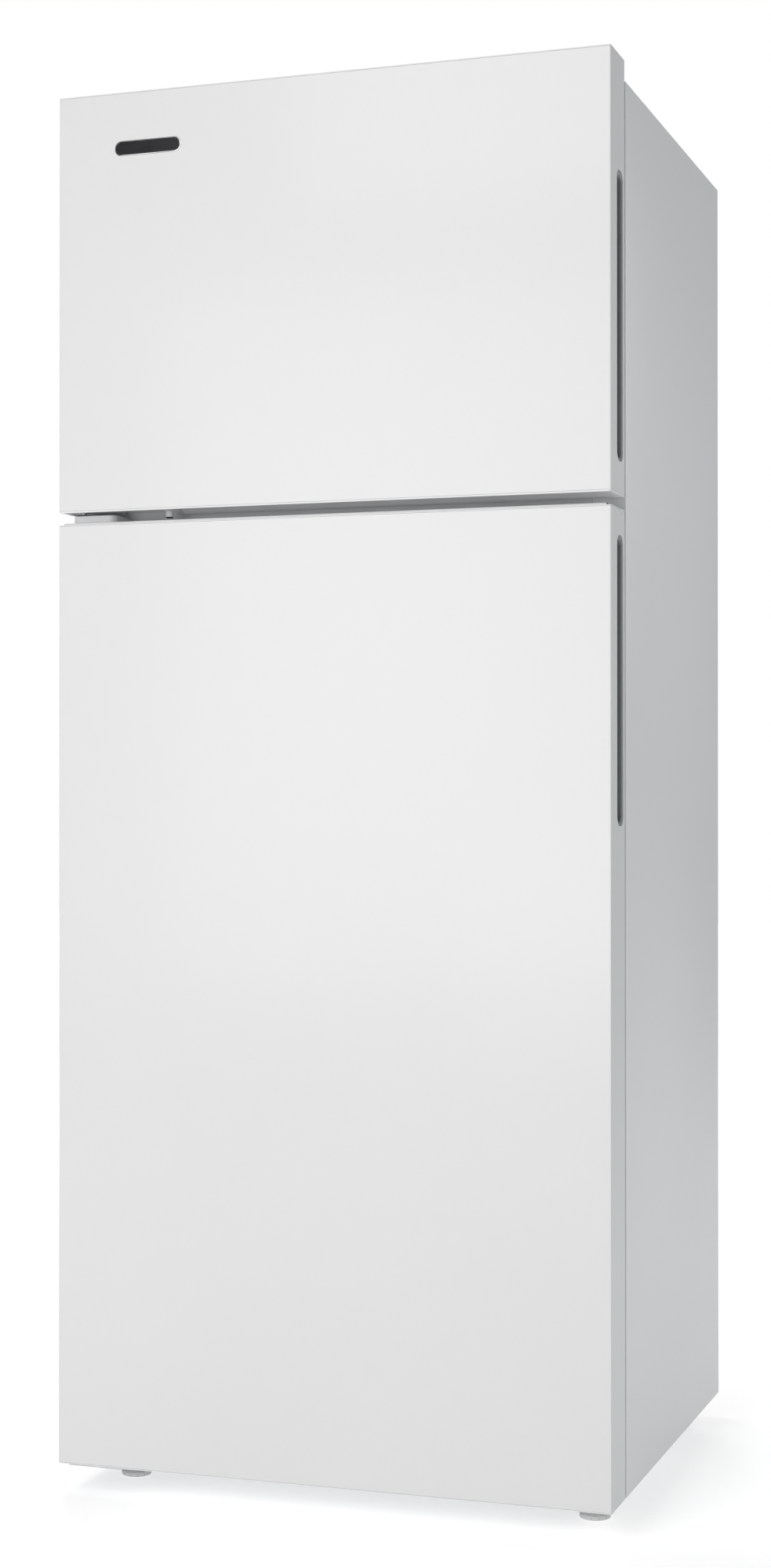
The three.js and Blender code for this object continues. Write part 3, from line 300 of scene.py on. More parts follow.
def joined(*parts):
    verts, faces = [], []
    for v, f in parts:
        base = len(verts)
        verts += v
        faces += [tuple(base + i for i in face) for face in f]
    return verts, faces


def block(axis, u, v, w, r=0.002, edge=0.0008, steps=4):
    """A rounded bar along an axis with softened ends."""
    rings = []
    for i in range(4):
        angle = i * math.pi / 6
        rings.append((edge * (1 - math.sin(angle)), w[0] + edge * (1 - math.cos(angle))))
    rings += [(inset, w[1] + w[0] - level) for inset, level in reversed(rings)]
    return loft(rounded_rings(axis, u, v, r, rings, steps))


def turned(axis, centre, profile, sides=32):
    """A turned solid: profile is (radius, level) pairs from one end of the axis to the other."""
    return loft(
        round_rings(axis, centre, [(max(radius, 0.00005), level) for radius, level in profile], sides)
    )


def tub(x, y, z, wall=0.0024, r=0.016, taper=0.003, lip=0.004, foot=0.004):
    """An open-topped moulded bin with drawn-in walls, a rounded foot and a turned-out rim."""
    z0, z1 = z
    rings = []
    for i in range(4):
        angle = i * math.pi / 6
        rings.append((taper + lip + foot * (1 - math.sin(angle)), z0 + foot * (1 - math.cos(angle))))
    rings += [(lip, z1 - 0.006), (0.0006, z1 - 0.0052), (0.0, z1 - 0.0044), (0.0, z1 - 0.0008), (0.0008, z1)]
    rings += [(lip + wall - 0.0008, z1), (lip + wall, z1 - 0.0008)]
    for i in range(4):
        angle = math.pi / 2 - i * math.pi / 6
        rings.append(
            (taper + lip + wall + foot * (1 - math.sin(angle)), z0 + wall + foot * (1 - math.cos(angle)))
        )
    return loft(rounded_rings("z", x, y, r, rings, 7))


def tube(name, body, look, points, radius, cyclic=False):
    """A round pipe through points, with softened bends."""
    curve = bpy.data.curves.new(name, "CURVE")
    curve.dimensions = "3D"
    curve.bevel_depth = radius
    curve.bevel_resolution = 3
    curve.resolution_u = 6
    curve.use_fill_caps = True
    spline = curve.splines.new("NURBS")
    spline.points.add(len(points) - 1)
    for target, point in zip(spline.points, points):
        target.co = (*point, 1)
    spline.order_u = 3
    spline.use_endpoint_u = not cyclic
    spline.use_cyclic_u = cyclic
    curve.materials.append(looks[look])
    obj = bpy.data.objects.new(name, curve)
    scene.collection.objects.link(obj)
    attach(obj, body)
    return obj


def evaluated_mesh(obj):
    bpy.context.view_layer.update()
    graph = bpy.context.evaluated_depsgraph_get()
    return bpy.data.meshes.new_from_object(obj.evaluated_get(graph))


def cut_out(obj, verts, faces, operation="DIFFERENCE", smooth=40):
    """Cuts a closed shape out of a piece, or joins it on."""
    mesh = bpy.data.meshes.new("cutter")
    mesh.from_pydata(verts, [], faces)
    bm = bmesh.new()
    bm.from_mesh(mesh)
    bmesh.ops.recalc_face_normals(bm, faces=bm.faces)
    bm.to_mesh(mesh)
    bm.free()
    cutter = bpy.data.objects.new("cutter", mesh)
    scene.collection.objects.link(cutter)
    obj.modifiers.clear()
    modifier = obj.modifiers.new("cut", "BOOLEAN")
    modifier.operation = operation
    modifier.solver = "EXACT"
    modifier.object = cutter
    made = evaluated_mesh(obj)
    obj.modifiers.clear()
    bm = bmesh.new()
    bm.from_mesh(made)
    bmesh.ops.dissolve_limit(bm, angle_limit=0.001, verts=bm.verts, edges=bm.edges)
    for edge in bm.edges:
        edge.smooth = len(edge.link_faces) == 2 and edge.calc_face_angle(0) < math.radians(smooth)
    for face in bm.faces:
        face.smooth = True
    bm.to_mesh(made)
    bm.free()
    obj.data = made
    flatten_shading(obj)
    bpy.data.objects.remove(cutter)
    return obj


def soften(node, width, segments=3, angle=30):
    """Rounds the edges of a CAD node as it is drawn."""
    obj = frame["nodes"][node]
    merge = obj.modifiers.new("weld", "WELD")
    merge.merge_threshold = 1e-6
    flat = obj.modifiers.new("flat", "DECIMATE")
    flat.decimate_type = "DISSOLVE"
    flat.angle_limit = math.radians(0.5)
    bevel = obj.modifiers.new("soft_edges", "BEVEL")
    bevel.width = width
    bevel.segments = segments
    bevel.limit_method = "ANGLE"
    bevel.angle_limit = math.radians(angle)
    bevel.harden_normals = True
    bevel.use_clamp_overlap = True
    for face in obj.data.polygons:
        face.use_smooth = True
    return obj


def soft_ends(obj, width, segments=2, harden=True):
    """Rounds the square ends of an extruded piece."""
    edge = obj.modifiers.new("soft_ends", "BEVEL")
    edge.width = width
    edge.segments = segments
    edge.angle_limit = math.radians(50)
    edge.harden_normals = harden


# ---------------------------------------------------------------- places taken from the frame

def span(node):
    low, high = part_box(node)
    return tuple((low[i], high[i]) for i in range(3))


def anchor(joint):
    return next(j["pos_m"] for j in frame["record"]["behaviour"]["joints"] if j["name"] == joint)


LEFT, RIGHT = cad_low.x, cad_high.x
FRONT = cad_low.y
TOP = cad_high.z
PIN_X, PIN_Y = anchor("freezer_door_hinge")[:2]
DOOR_BACK = span("freezer_door_skin")[1][1]
CAB_FRONT = span("cabinet_wrap")[1][0]
SHEET = 0.0012


# ---------------------------------------------------------------- doors

DOORS = {"freezer_door": span("freezer_door_skin")[2], "fridge_door": span("fridge_door_skin")[2]}


def arc(centre, radius, start, end, steps):
    """Points on an arc, in degrees."""
    angles = [math.radians(start + (end - start) * i / steps) for i in range(steps + 1)]
    return [(centre[0] + radius * math.cos(a), centre[1] + radius * math.sin(a)) for a in angles]


def extruded(axis, points, w):
    """A closed outline pushed along an axis between two levels."""
    return loft([[placed(axis, a, b, level) for a, b in points] for level in w])


def slot_rings(y, z, levels):
    """Rings round a slot in the side of a door. levels is (inset, x) pairs."""
    return rounded_rings("x", y, z, 0.012, levels, 10)


def door_skin(name):
    """Folded sheet round the front, sides and rear returns of a door, with its grip slot cut out."""
    z = DOORS[name]
    fold, back_fold = 0.0016, 0.0014
    fold_radii = (fold, fold, back_fold, 0.006)
    outer = outline((LEFT, RIGHT), (FRONT, DOOR_BACK), fold_radii, 0.0, 6)
    inner = outline((LEFT, RIGHT), (FRONT, DOOR_BACK), fold_radii, SHEET, 6)
    rings = [(outer, z[0]), (outer, z[1]), (inner, z[1]), (inner, z[0])]
    verts, faces = loft(
        [[placed("z", a, b, level) for a, b in points] for points, level in rings], closed=True
    )
    skin = piece(f"{name}_outer_sheet", name, "paint", verts, faces, (f"{name}_skin",), "white_paint")
    mouth = block(
        "y", (LEFT + 0.011, RIGHT - 0.011), (z[0] - 0.01, z[1] + 0.01),
        (DOOR_BACK - 0.004, DOOR_BACK + 0.004)
    )
    cut_out(skin, *mouth)
    _, gy, gz = span(f"{name}_grip")
    hole = [(0.0, RIGHT - 0.006), (0.0, RIGHT + 0.003)]
    cut_out(skin, *loft(slot_rings(gy, gz, hole)))
    if name == "freezer_door":
        pocket_x = LEFT + 0.046
        pocket_z = span("cabinet_wrap")[2][1] - 0.004
        cut_out(
            skin,
            *block(
                "z", (LEFT - 0.01, pocket_x), (FRONT + 0.0025, DOOR_BACK + 0.01), (pocket_z, TOP + 0.01),
                0.0004, 0.0001
            )
        )
        bx, _, bz = span("freezer_door_badge")
        grow = 0.0003
        well = (bx[0] - grow, bx[1] + grow), (bz[0] - grow, bz[1] + grow)
        cut_out(skin, *extruded("y", outline(*well, 0.0087, 0, 8), (FRONT - 0.002, FRONT + 0.0023)))
    else:
        quarter = arc((0, 0), 1.0, 90, 0, 8)
        seam_y, seam_z = FRONT + 0.030, z[1] - 0.0058
        outer = [(seam_y + 0.0220 * a, seam_z + 0.0068 * b) for a, b in quarter]
        inner = [(seam_y + 0.0212 * a, seam_z - 0.0008 + 0.0068 * b) for a, b in reversed(quarter)]
        cut_out(skin, *extruded("x", outer + inner, (RIGHT - 0.0005, RIGHT + 0.001)))
    # Faces that point along ±X take the darker side enamel: painted shade on the door's sides.
    skin.data.materials.append(looks["side"])
    for face in skin.data.polygons:
        if abs(face.normal.x) > 0.7:
            face.material_index = 1
    return skin


def grip_cup(name):
    """Slot liner with a rolled lip, a draft on its walls and a rounded floor."""
    gx, gy, gz = span(f"{name}_grip")
    lip, draft, floor_r, wall = 0.0038, 0.0012, 0.006, 0.0014
    levels = [(0.0002, gx[0] + 0.002), (0.0002, RIGHT - 0.0006), (0.0005, RIGHT - 0.0003)]
    for i in range(7):
        a = i * math.pi / 12
        levels.append((0.0005 + wall + lip * math.sin(a), RIGHT - 0.0003 - lip * (1 - math.cos(a))))
    inner_floor = gx[0] + 0.003
    levels.append((0.0005 + wall + lip + draft * 0.6, inner_floor + floor_r))
    for i in range(1, 6):
        a = i * math.pi / 10
        inset = 0.0005 + wall + lip + draft + floor_r * (1 - math.cos(a)) * 0.6
        levels.append((inset, inner_floor + floor_r * (1 - math.sin(a))))
    rings = slot_rings(gy, gz, levels)
    return piece(f"{name}_grip_cup", name, "grip", *loft(rings), (f"{name}_grip",), "grip_plastic")


def badge_plate():
    """Plain bar with a satin rim, let into the freezer door."""
    x, y, z = span("freezer_door_badge")
    rim = 0.0011
    r = 0.0085
    face = [
        (rim + 0.0001, y[0] + 0.0012), (rim + 0.0001, y[0] + 0.0005), (rim + 0.0004, y[0] + 0.0002),
        (rim + 0.0009, y[0] + 0.0001)
    ]
    bar = rounded_rings("y", x, z, r, face, 8)
    piece("badge_bar", "freezer_door", "badge", *loft(bar), (), "black_plastic")
    ring = [
        (0.0, y[1]), (0.0, y[0] + 0.0006), (0.0003, y[0] + 0.0001), (0.0008, y[0]), (rim, y[0] + 0.0004),
        (rim, y[1])
    ]
    verts, faces = loft(rounded_rings("y", x, z, r, ring, 8), closed=True)
    piece("badge_rim", "freezer_door", "satin", verts, faces, ("freezer_door_badge",), "galvanised")


def cap_rings(rim, body, side):
    """A cap's block inside the skin and its softened rim. side is +1 for a cap on top, -1 below."""
    radii = (0.0016, 0.0016, 0.0014, 0.006)
    edge = 0.0006
    tuck = 0.0016
    levels = [(tuck, body), (tuck, rim[0]), (0.0, rim[0]), (0.0, rim[1] - side * edge)]
    levels += [(edge * 0.3, rim[1] - side * edge * 0.3), (edge, rim[1])]
    x, y = (LEFT, RIGHT), (FRONT, DOOR_BACK)
    rings = []
    for inset, level in levels:
        far = DOOR_BACK - 0.0044 if inset == tuck else DOOR_BACK
        rings.append([placed("z", a, b, level) for a, b in outline(x, (y[0], far), radii, inset, 6)])
    return loft(rings)


def door_caps():
    (fz0, _), (_, rz1) = span("freezer_door_bottom_cap")[2], span("fridge_door_skin")[2]
    low = fz0 + 0.007
    bottom = end_cap_at("freezer_door_bottom_cap", "freezer_door", low, "freezer_door_lower_cap")
    cove = [(FRONT + 0.0028, low - 0.003), (FRONT + 0.0028, low + 0.0004)]
    for i in range(1, 17):
        t = i / 16
        y = (1 - t) ** 2 * (FRONT + 0.0032) + 2 * t * (1 - t) * (FRONT + 0.028) + t * t * (DOOR_BACK - 0.006)
        z = low + 2 * t * (1 - t) * 0.018
        cove.append((y, z))
    cove.append((DOOR_BACK - 0.006, low - 0.003))
    cut_out(bottom, *extruded("x", cove, (LEFT + 0.141, RIGHT - 0.004)))
    well = [
        (LEFT + 0.004, low - 0.01), (LEFT + 0.136, low - 0.01), (LEFT + 0.136, low + 0.002),
        (LEFT + 0.112, low + 0.008)
    ]
    well += [(LEFT + 0.068, low + 0.013), (LEFT + 0.060, low + 0.003), (LEFT + 0.004, low + 0.003)]
    cut_out(bottom, *extruded("y", well, (FRONT + 0.008, DOOR_BACK + 0.01)))
    cut_out(bottom, *turned("z", (PIN_X, PIN_Y), [(0.0046, low - 0.01), (0.0046, low + 0.016)], 24))
    stop = [(0.0050, fz0 + 0.0014), (0.0050, low + 0.006)]
    tip = [(0.0030, fz0), (0.0044, fz0 + 0.0003), (0.0050, fz0 + 0.0010), (0.0050, fz0 + 0.0014)]
    stop_at = (LEFT + 0.131, FRONT + 0.040)
    piece("freezer_door_stop", "freezer_door", "trim", *turned("z", stop_at, stop, 24), (), "door_plastic")
    piece(
        "freezer_door_stop_tip", "freezer_door", "black", *turned("z", stop_at, tip, 24), (),
        "black_plastic"
    )
    ridge = block(
        "x", (FRONT + 0.0005, FRONT + 0.0024), (low - 0.0006, low + 0.0016), (LEFT + 0.003, RIGHT - 0.003),
        0.0008, 0.0004
    )
    piece("freezer_door_lower_lip", "freezer_door", "paint", *ridge, (), "white_paint")

    top = rz1 + 0.0017
    crown = end_cap_at("fridge_door_top_cap", "fridge_door", top, "fridge_door_upper_cap")
    cut_out(crown, *turned("z", (PIN_X, PIN_Y), [(0.0046, top - 0.016), (0.0046, top + 0.01)], 24))
    strip = block(
        "x", (FRONT + 0.004, FRONT + 0.0065), (top - 0.001, top + 0.0024), (LEFT + 0.005, RIGHT - 0.0065),
        0.0009, 0.0005
    )
    piece("fridge_door_upper_strip", "fridge_door", "paint", *strip, (), "door_plastic")
    tick = block(
        "x", (FRONT + 0.0035, FRONT + 0.007), (top - 0.001, top + 0.0020), (RIGHT - 0.0062, RIGHT - 0.0052),
        0.0004, 0.0002
    )
    piece("fridge_door_strip_end", "fridge_door", "black", *tick, (), "black_plastic")
    _, _, uz = span("freezer_door_top_cap")
    roof = end_cap_at("freezer_door_top_cap", "freezer_door", TOP, "freezer_door_upper_cap")
    pocket_z = span("cabinet_wrap")[2][1] - 0.004
    cut_out(
        roof,
        *block(
            "z", (LEFT - 0.01, LEFT + 0.046), (FRONT + 0.0025, DOOR_BACK + 0.01), (pocket_z, TOP + 0.01),
            0.0004, 0.0001
        )
    )
    cut_out(roof, *turned("z", (PIN_X, PIN_Y), [(0.0046, uz[0] - 0.002), (0.0046, TOP)], 24))
    base = span("fridge_door_bottom_cap")[2][0]
    sole = end_cap_at("fridge_door_bottom_cap", "fridge_door", base, "fridge_door_lower_cap")
    cut_out(sole, *turned("z", (PIN_X, PIN_Y), [(0.0046, base - 0.01), (0.0046, base + 0.016)], 24))


def end_cap_at(node, body, face, name):
    """A cap whose outer face is at a level; its block reaches to the far end of the CAD cap."""
    _, _, z = span(node)
    rim = 0.0014
    if abs(face - z[0]) < abs(face - z[1]):
        made = cap_rings((face + rim, face), z[1], -1)
    else:
        made = cap_rings((face - rim, face), z[0], 1)
    return piece(name, body, "trim", *made, (node,), "door_plastic")


def gasket(name):
    """Magnetic seal: a soft bellows run round the rear of the door, mitred at its corners."""
    x, y, z = span(f"{name}_gasket")
    deep = y[1] - y[0]
    wide = 0.014
    section = [
        (0.0015, 0.0), (0.0125, 0.0), (0.0125, 0.12), (0.0105, 0.22), (0.0105, 0.30), (0.0135, 0.42),
        (wide, 0.55),
        (wide, 0.86), (0.0132, 0.97), (0.0115, 1.0), (0.0025, 1.0), (0.0008, 0.97), (0.0, 0.86), (0.0, 0.60),
        (0.0006, 0.52), (0.0036, 0.42), (0.0036, 0.32), (0.0012, 0.24), (0.0005, 0.12),
    ]
    levels = [(inset, y[0] + level * deep) for inset, level in section]
    verts, faces = loft(rounded_rings("y", x, z, 0.016, levels, 4), closed=True)
    piece(f"{name}_seal", name, "gasket", verts, faces, (f"{name}_gasket",), "gasket", 30)


def door_liner(name):
    """Vacuum-formed inner panel: a flat border, a raised rounded ring and a sunken middle."""
    x, y, z = span(f"{name}_liner")
    ring_x = {"freezer_door": 0.2775, "fridge_door": 0.2875}[name]
    ring_z = {"freezer_door": (1.248, 1.628), "fridge_door": (0.112, 1.160)}[name]
    plate = y[0] + 0.0025
    crest = y[1]
    soft = 0.006
    rings = rounded_rings("y", x, z, 0.004, [(0, y[0]), (0, plate)], 5)
    ring = [(-0.004, plate), (-0.0014, plate + 0.0008), (0.0, plate + 0.004)]
    for i in range(5):
        a = i * math.pi / 8
        ring.append((0.0012 + soft * (1 - math.cos(a)), crest - soft * (1 - math.sin(a))))
    wide = 0.018
    for i in range(5):
        a = math.pi / 2 - i * math.pi / 8
        ring.append((wide - soft * (1 - math.cos(a)), crest - soft * (1 - math.sin(a))))
    ring += [(wide + 0.001, plate + 0.007), (wide + 0.003, plate + 0.002), (wide + 0.007, plate + 0.0003)]
    for inset, level in ring:
        corner = 0.016 if inset < wide / 2 else 0.016 + inset
        rings += rounded_rings("y", (-ring_x, ring_x), ring_z, corner, [(inset, level)], 5)
    piece(f"{name}_inner_panel", name, "liner", *loft(rings), (f"{name}_liner",), "liner_plastic")


def seal_fin(name):
    """Soft outer lip of the seal, which closes the seam on the grip side."""
    z = DOORS[name]
    y = (DOOR_BACK + 0.0002, CAB_FRONT - 0.0006)
    fin = block("z", (RIGHT - 0.024, RIGHT - 0.0012), y, (z[0] + 0.006, z[1] - 0.010), 0.0016, 0.001, 5)
    piece(f"{name}_seal_fin", name, "gasket", *fin, (), "gasket")


for door in DOORS:
    door_skin(door)
    seal_fin(door)
    grip_cup(door)
    gasket(door)
    door_liner(door)
badge_plate()
door_caps()

# ---------------------------------------------------------------- hinges and feet

def screw(name, body, axis, at, level, out, r=0.0045):
    """A cross-headed screw. level is the face it sits on and out is +1 or -1, the way its head points."""
    head = [(0.0002, level - out * 0.001), (r, level - out * 0.001), (r, level + out * 0.0004)]
    head += [
        (r * 0.92, level + out * 0.0011), (r * 0.62, level + out * 0.0016), (0.0002, level + out * 0.0018)
    ]
    obj = piece(name, body, "screw", *turned(axis, at, head, 20), (), "galvanised")
    u, v = at
    arm, half = r * 0.55, r * 0.11
    deep = sorted((level + out * 0.0008, level + out * 0.004))
    for hu, hv in ((arm, half), (half, arm)):
        cut_out(obj, *extruded(axis, outline((u - hu, u + hu), (v - hv, v + hv), 0.0001, 0, 1), deep))
    return obj


def hinges():
    z = span("mid_hinge")[2]
    skin_top, cap_low = span("fridge_door_skin")[2][1] + 0.0017, span("freezer_door_skin")[2][0] - 0.0017
    arm_z = (skin_top + 0.0032, cap_low - 0.0022)
    arm_x = (PIN_X - 0.010, PIN_X + 0.047)
    arm_y = (PIN_Y - 0.010, CAB_FRONT - 0.0003)
    arm = block("z", arm_x, arm_y, arm_z, (0.006, 0.010, 0.0006, 0.0006), 0.0007, 8)
    pin = [(0.0032, z[0]), (0.0038, z[0] + 0.0008), (0.0038, z[1] - 0.0008), (0.0032, z[1])]
    piece("mid_hinge_arm", "cabinet", "hinge", *arm, ("mid_hinge",), "door_plastic")
    piece("mid_hinge_pin", "cabinet", "steel", *turned("z", (PIN_X, PIN_Y), pin, 24), (), "galvanised")
    washer = [(0.0046, arm_z[1] - 0.0002), (0.0088, arm_z[1] - 0.0002), (0.0092, arm_z[1] + 0.0004)]
    washer += [(0.0092, arm_z[1] + 0.0010), (0.0088, arm_z[1] + 0.0014), (0.0046, arm_z[1] + 0.0014)]
    piece(
        "mid_hinge_washer", "cabinet", "black", *turned("z", (PIN_X, PIN_Y), washer, 28), (),
        "black_plastic"
    )

    x, y, z = span("top_hinge_cover")
    rings = []
    wall, r = 0.002, 0.009
    for inset, level in ((0.0, z[0]), (0.0006, z[1] - 0.006)):
        rings.append((inset, level))
    for i in range(1, 6):
        a = i * math.pi / 10
        rings.append((0.0006 + 0.0054 * (1 - math.cos(a)), z[1] - 0.006 + 0.006 * math.sin(a)))
    rings += [(0.018, z[1]), (0.019, z[1] - 0.0006), (0.022, z[1] - 0.0006)]
    dome = loft(rounded_rings("z", x, y, r, rings))
    cap = piece("top_hinge_lid", "cabinet", "trim", *dome, ("top_hinge_cover",), "door_plastic")
    cut_out(cap, *extruded("z", outline(x, y, r, wall, 6), (z[0] - 0.001, z[1] - wall)))
    mouth = block(
        "y", (PIN_X - 0.012, PIN_X + 0.012), (z[0] - 0.001, z[0] + 0.005), (y[0] - 0.01, y[0] + 0.008),
        0.002, 0.0002
    )
    cut_out(cap, *mouth)
    screw(
        "top_hinge_lid_screw", "cabinet", "z", ((x[0] + x[1]) / 2 + 0.004, y[1] - 0.030), z[1] - 0.0006, 1,
        0.004
    )
    soften("top_hinge", 0.0006)
    soften("bottom_hinge", 0.0006)
    x, y, z = span("bottom_hinge")
    for i, (sx, sy) in enumerate(((x[1] - 0.014, y[1] - 0.012), (x[1] - 0.014, y[1] - 0.056))):
        screw(f"bottom_hinge_screw_{i}", "cabinet", "z", (sx, sy), z[1] - 0.017 if z[1] > 0.05 else z[0], -1)


def feet():
    for side in ("left", "right"):
        node = f"levelling_foot_{side}"
        x, y, z = span(node)
        at = ((x[0] + x[1]) / 2, (y[0] + y[1]) / 2)
        r = (x[1] - x[0]) / 2
        profile = [(0.0002, z[0]), (r - 0.0022, z[0]), (r - 0.0006, z[0] + 0.0006), (r, z[0] + 0.002)]
        profile += [(r, z[0] + 0.0052), (r - 0.0012, z[0] + 0.0066), (r - 0.0045, z[0] + 0.0078)]
        profile += [
            (r - 0.0055, z[0] + 0.0092), (0.0104, z[0] + 0.0096), (0.0104, z[0] + 0.0166),
            (0.0052, z[0] + 0.0170)
        ]
        z_now, pitch = z[0] + 0.0175, 0.0015
        while z_now < z[1] - pitch:
            profile += [(0.0042, z_now), (0.0050, z_now + pitch / 2)]
            z_now += pitch
        profile += [(0.0042, z[1] - 0.0006), (0.0034, z[1])]
        foot = piece(f"{node}_turned", node, "foot", *turned("z", at, profile, 36), (node,), "door_plastic")
        for i in range(12):
            a = i * math.pi / 6
            cx, cy = at[0] + r * math.cos(a), at[1] + r * math.sin(a)
            cut_out(foot, *turned("z", (cx, cy), [(0.0011, z[0] + 0.0022), (0.0011, z[0] + 0.009)], 10))


def rollers():
    for side in ("left", "right"):
        node = f"rear_roller_{side}"
        x, y, z = span(node)
        at = ((y[0] + y[1]) / 2, (z[0] + z[1]) / 2)
        r, bore = (z[1] - z[0]) / 2, 0.0036
        profile = [
            (bore, x[0] + 0.0015), (0.0070, x[0] + 0.0015), (0.0074, x[0] + 0.0035), (0.0112, x[0] + 0.0035)
        ]
        profile += [
            (0.0118, x[0] + 0.0010), (r - 0.0030, x[0]), (r - 0.0010, x[0] + 0.0008), (r, x[0] + 0.0030)
        ]
        half = profile + [(rr, x[0] + x[1] - lx) for rr, lx in reversed(profile)]
        tyre = loft(round_rings("x", at, half, 40), closed=True)
        wheel = piece(f"{node}_wheel", node, "black", *tyre, (node,), "black_plastic")
        for i in range(6):
            a = i * math.pi / 3
            cy, cz = at[0] + 0.0093 * math.cos(a), at[1] + 0.0093 * math.sin(a)
            cut_out(wheel, *turned("x", (cy, cz), [(0.0014, x[0] + 0.002), (0.0014, x[1] - 0.002)], 12))


# ---------------------------------------------------------------- cabinet and compressor space

def rear_side():
    x, y, z = span("back_panel")
    low, high = z[0] + 0.040, z[1] - 0.060  # ends of the pressed ribs
    sheet = y[0] + 0.001
    parts = [block("y", x, z, (y[0], sheet), 0.0008, 0.0002, 3)]
    rib = [(-0.002, sheet - 0.0004), (0.0, sheet), (0.004, y[1] - 0.0004), (0.006, y[1]), (0.0135, y[1])]
    for cx in (-0.240, -0.080, 0.080, 0.240):
        parts.append(loft(rounded_rings("y", (cx - 0.014, cx + 0.014), (low, high), 0.014, rib, 8)))
    piece("rear_sheet", "cabinet", "zinc", *joined(*parts), ("back_panel",), "galvanised")
    edge_z = [low + i * (high - low) / 6 for i in range(7)]
    for side in (-1, 1):
        for i, level in enumerate(edge_z):
            at = (side * (RIGHT - 0.0055), level)
            screw(
                f"rear_screw_{'left' if side < 0 else 'right'}_{i}", "cabinet", "y", at,
                span("cabinet_wrap")[1][1], 1, 0.0035
            )
    soften("cabinet_wrap", 0.0005, 2)
    soften("centre_rail", 0.0005, 2)
    soften("base_deck", 0.0005, 2)
    soften("compressor_plate", 0.0006, 2)


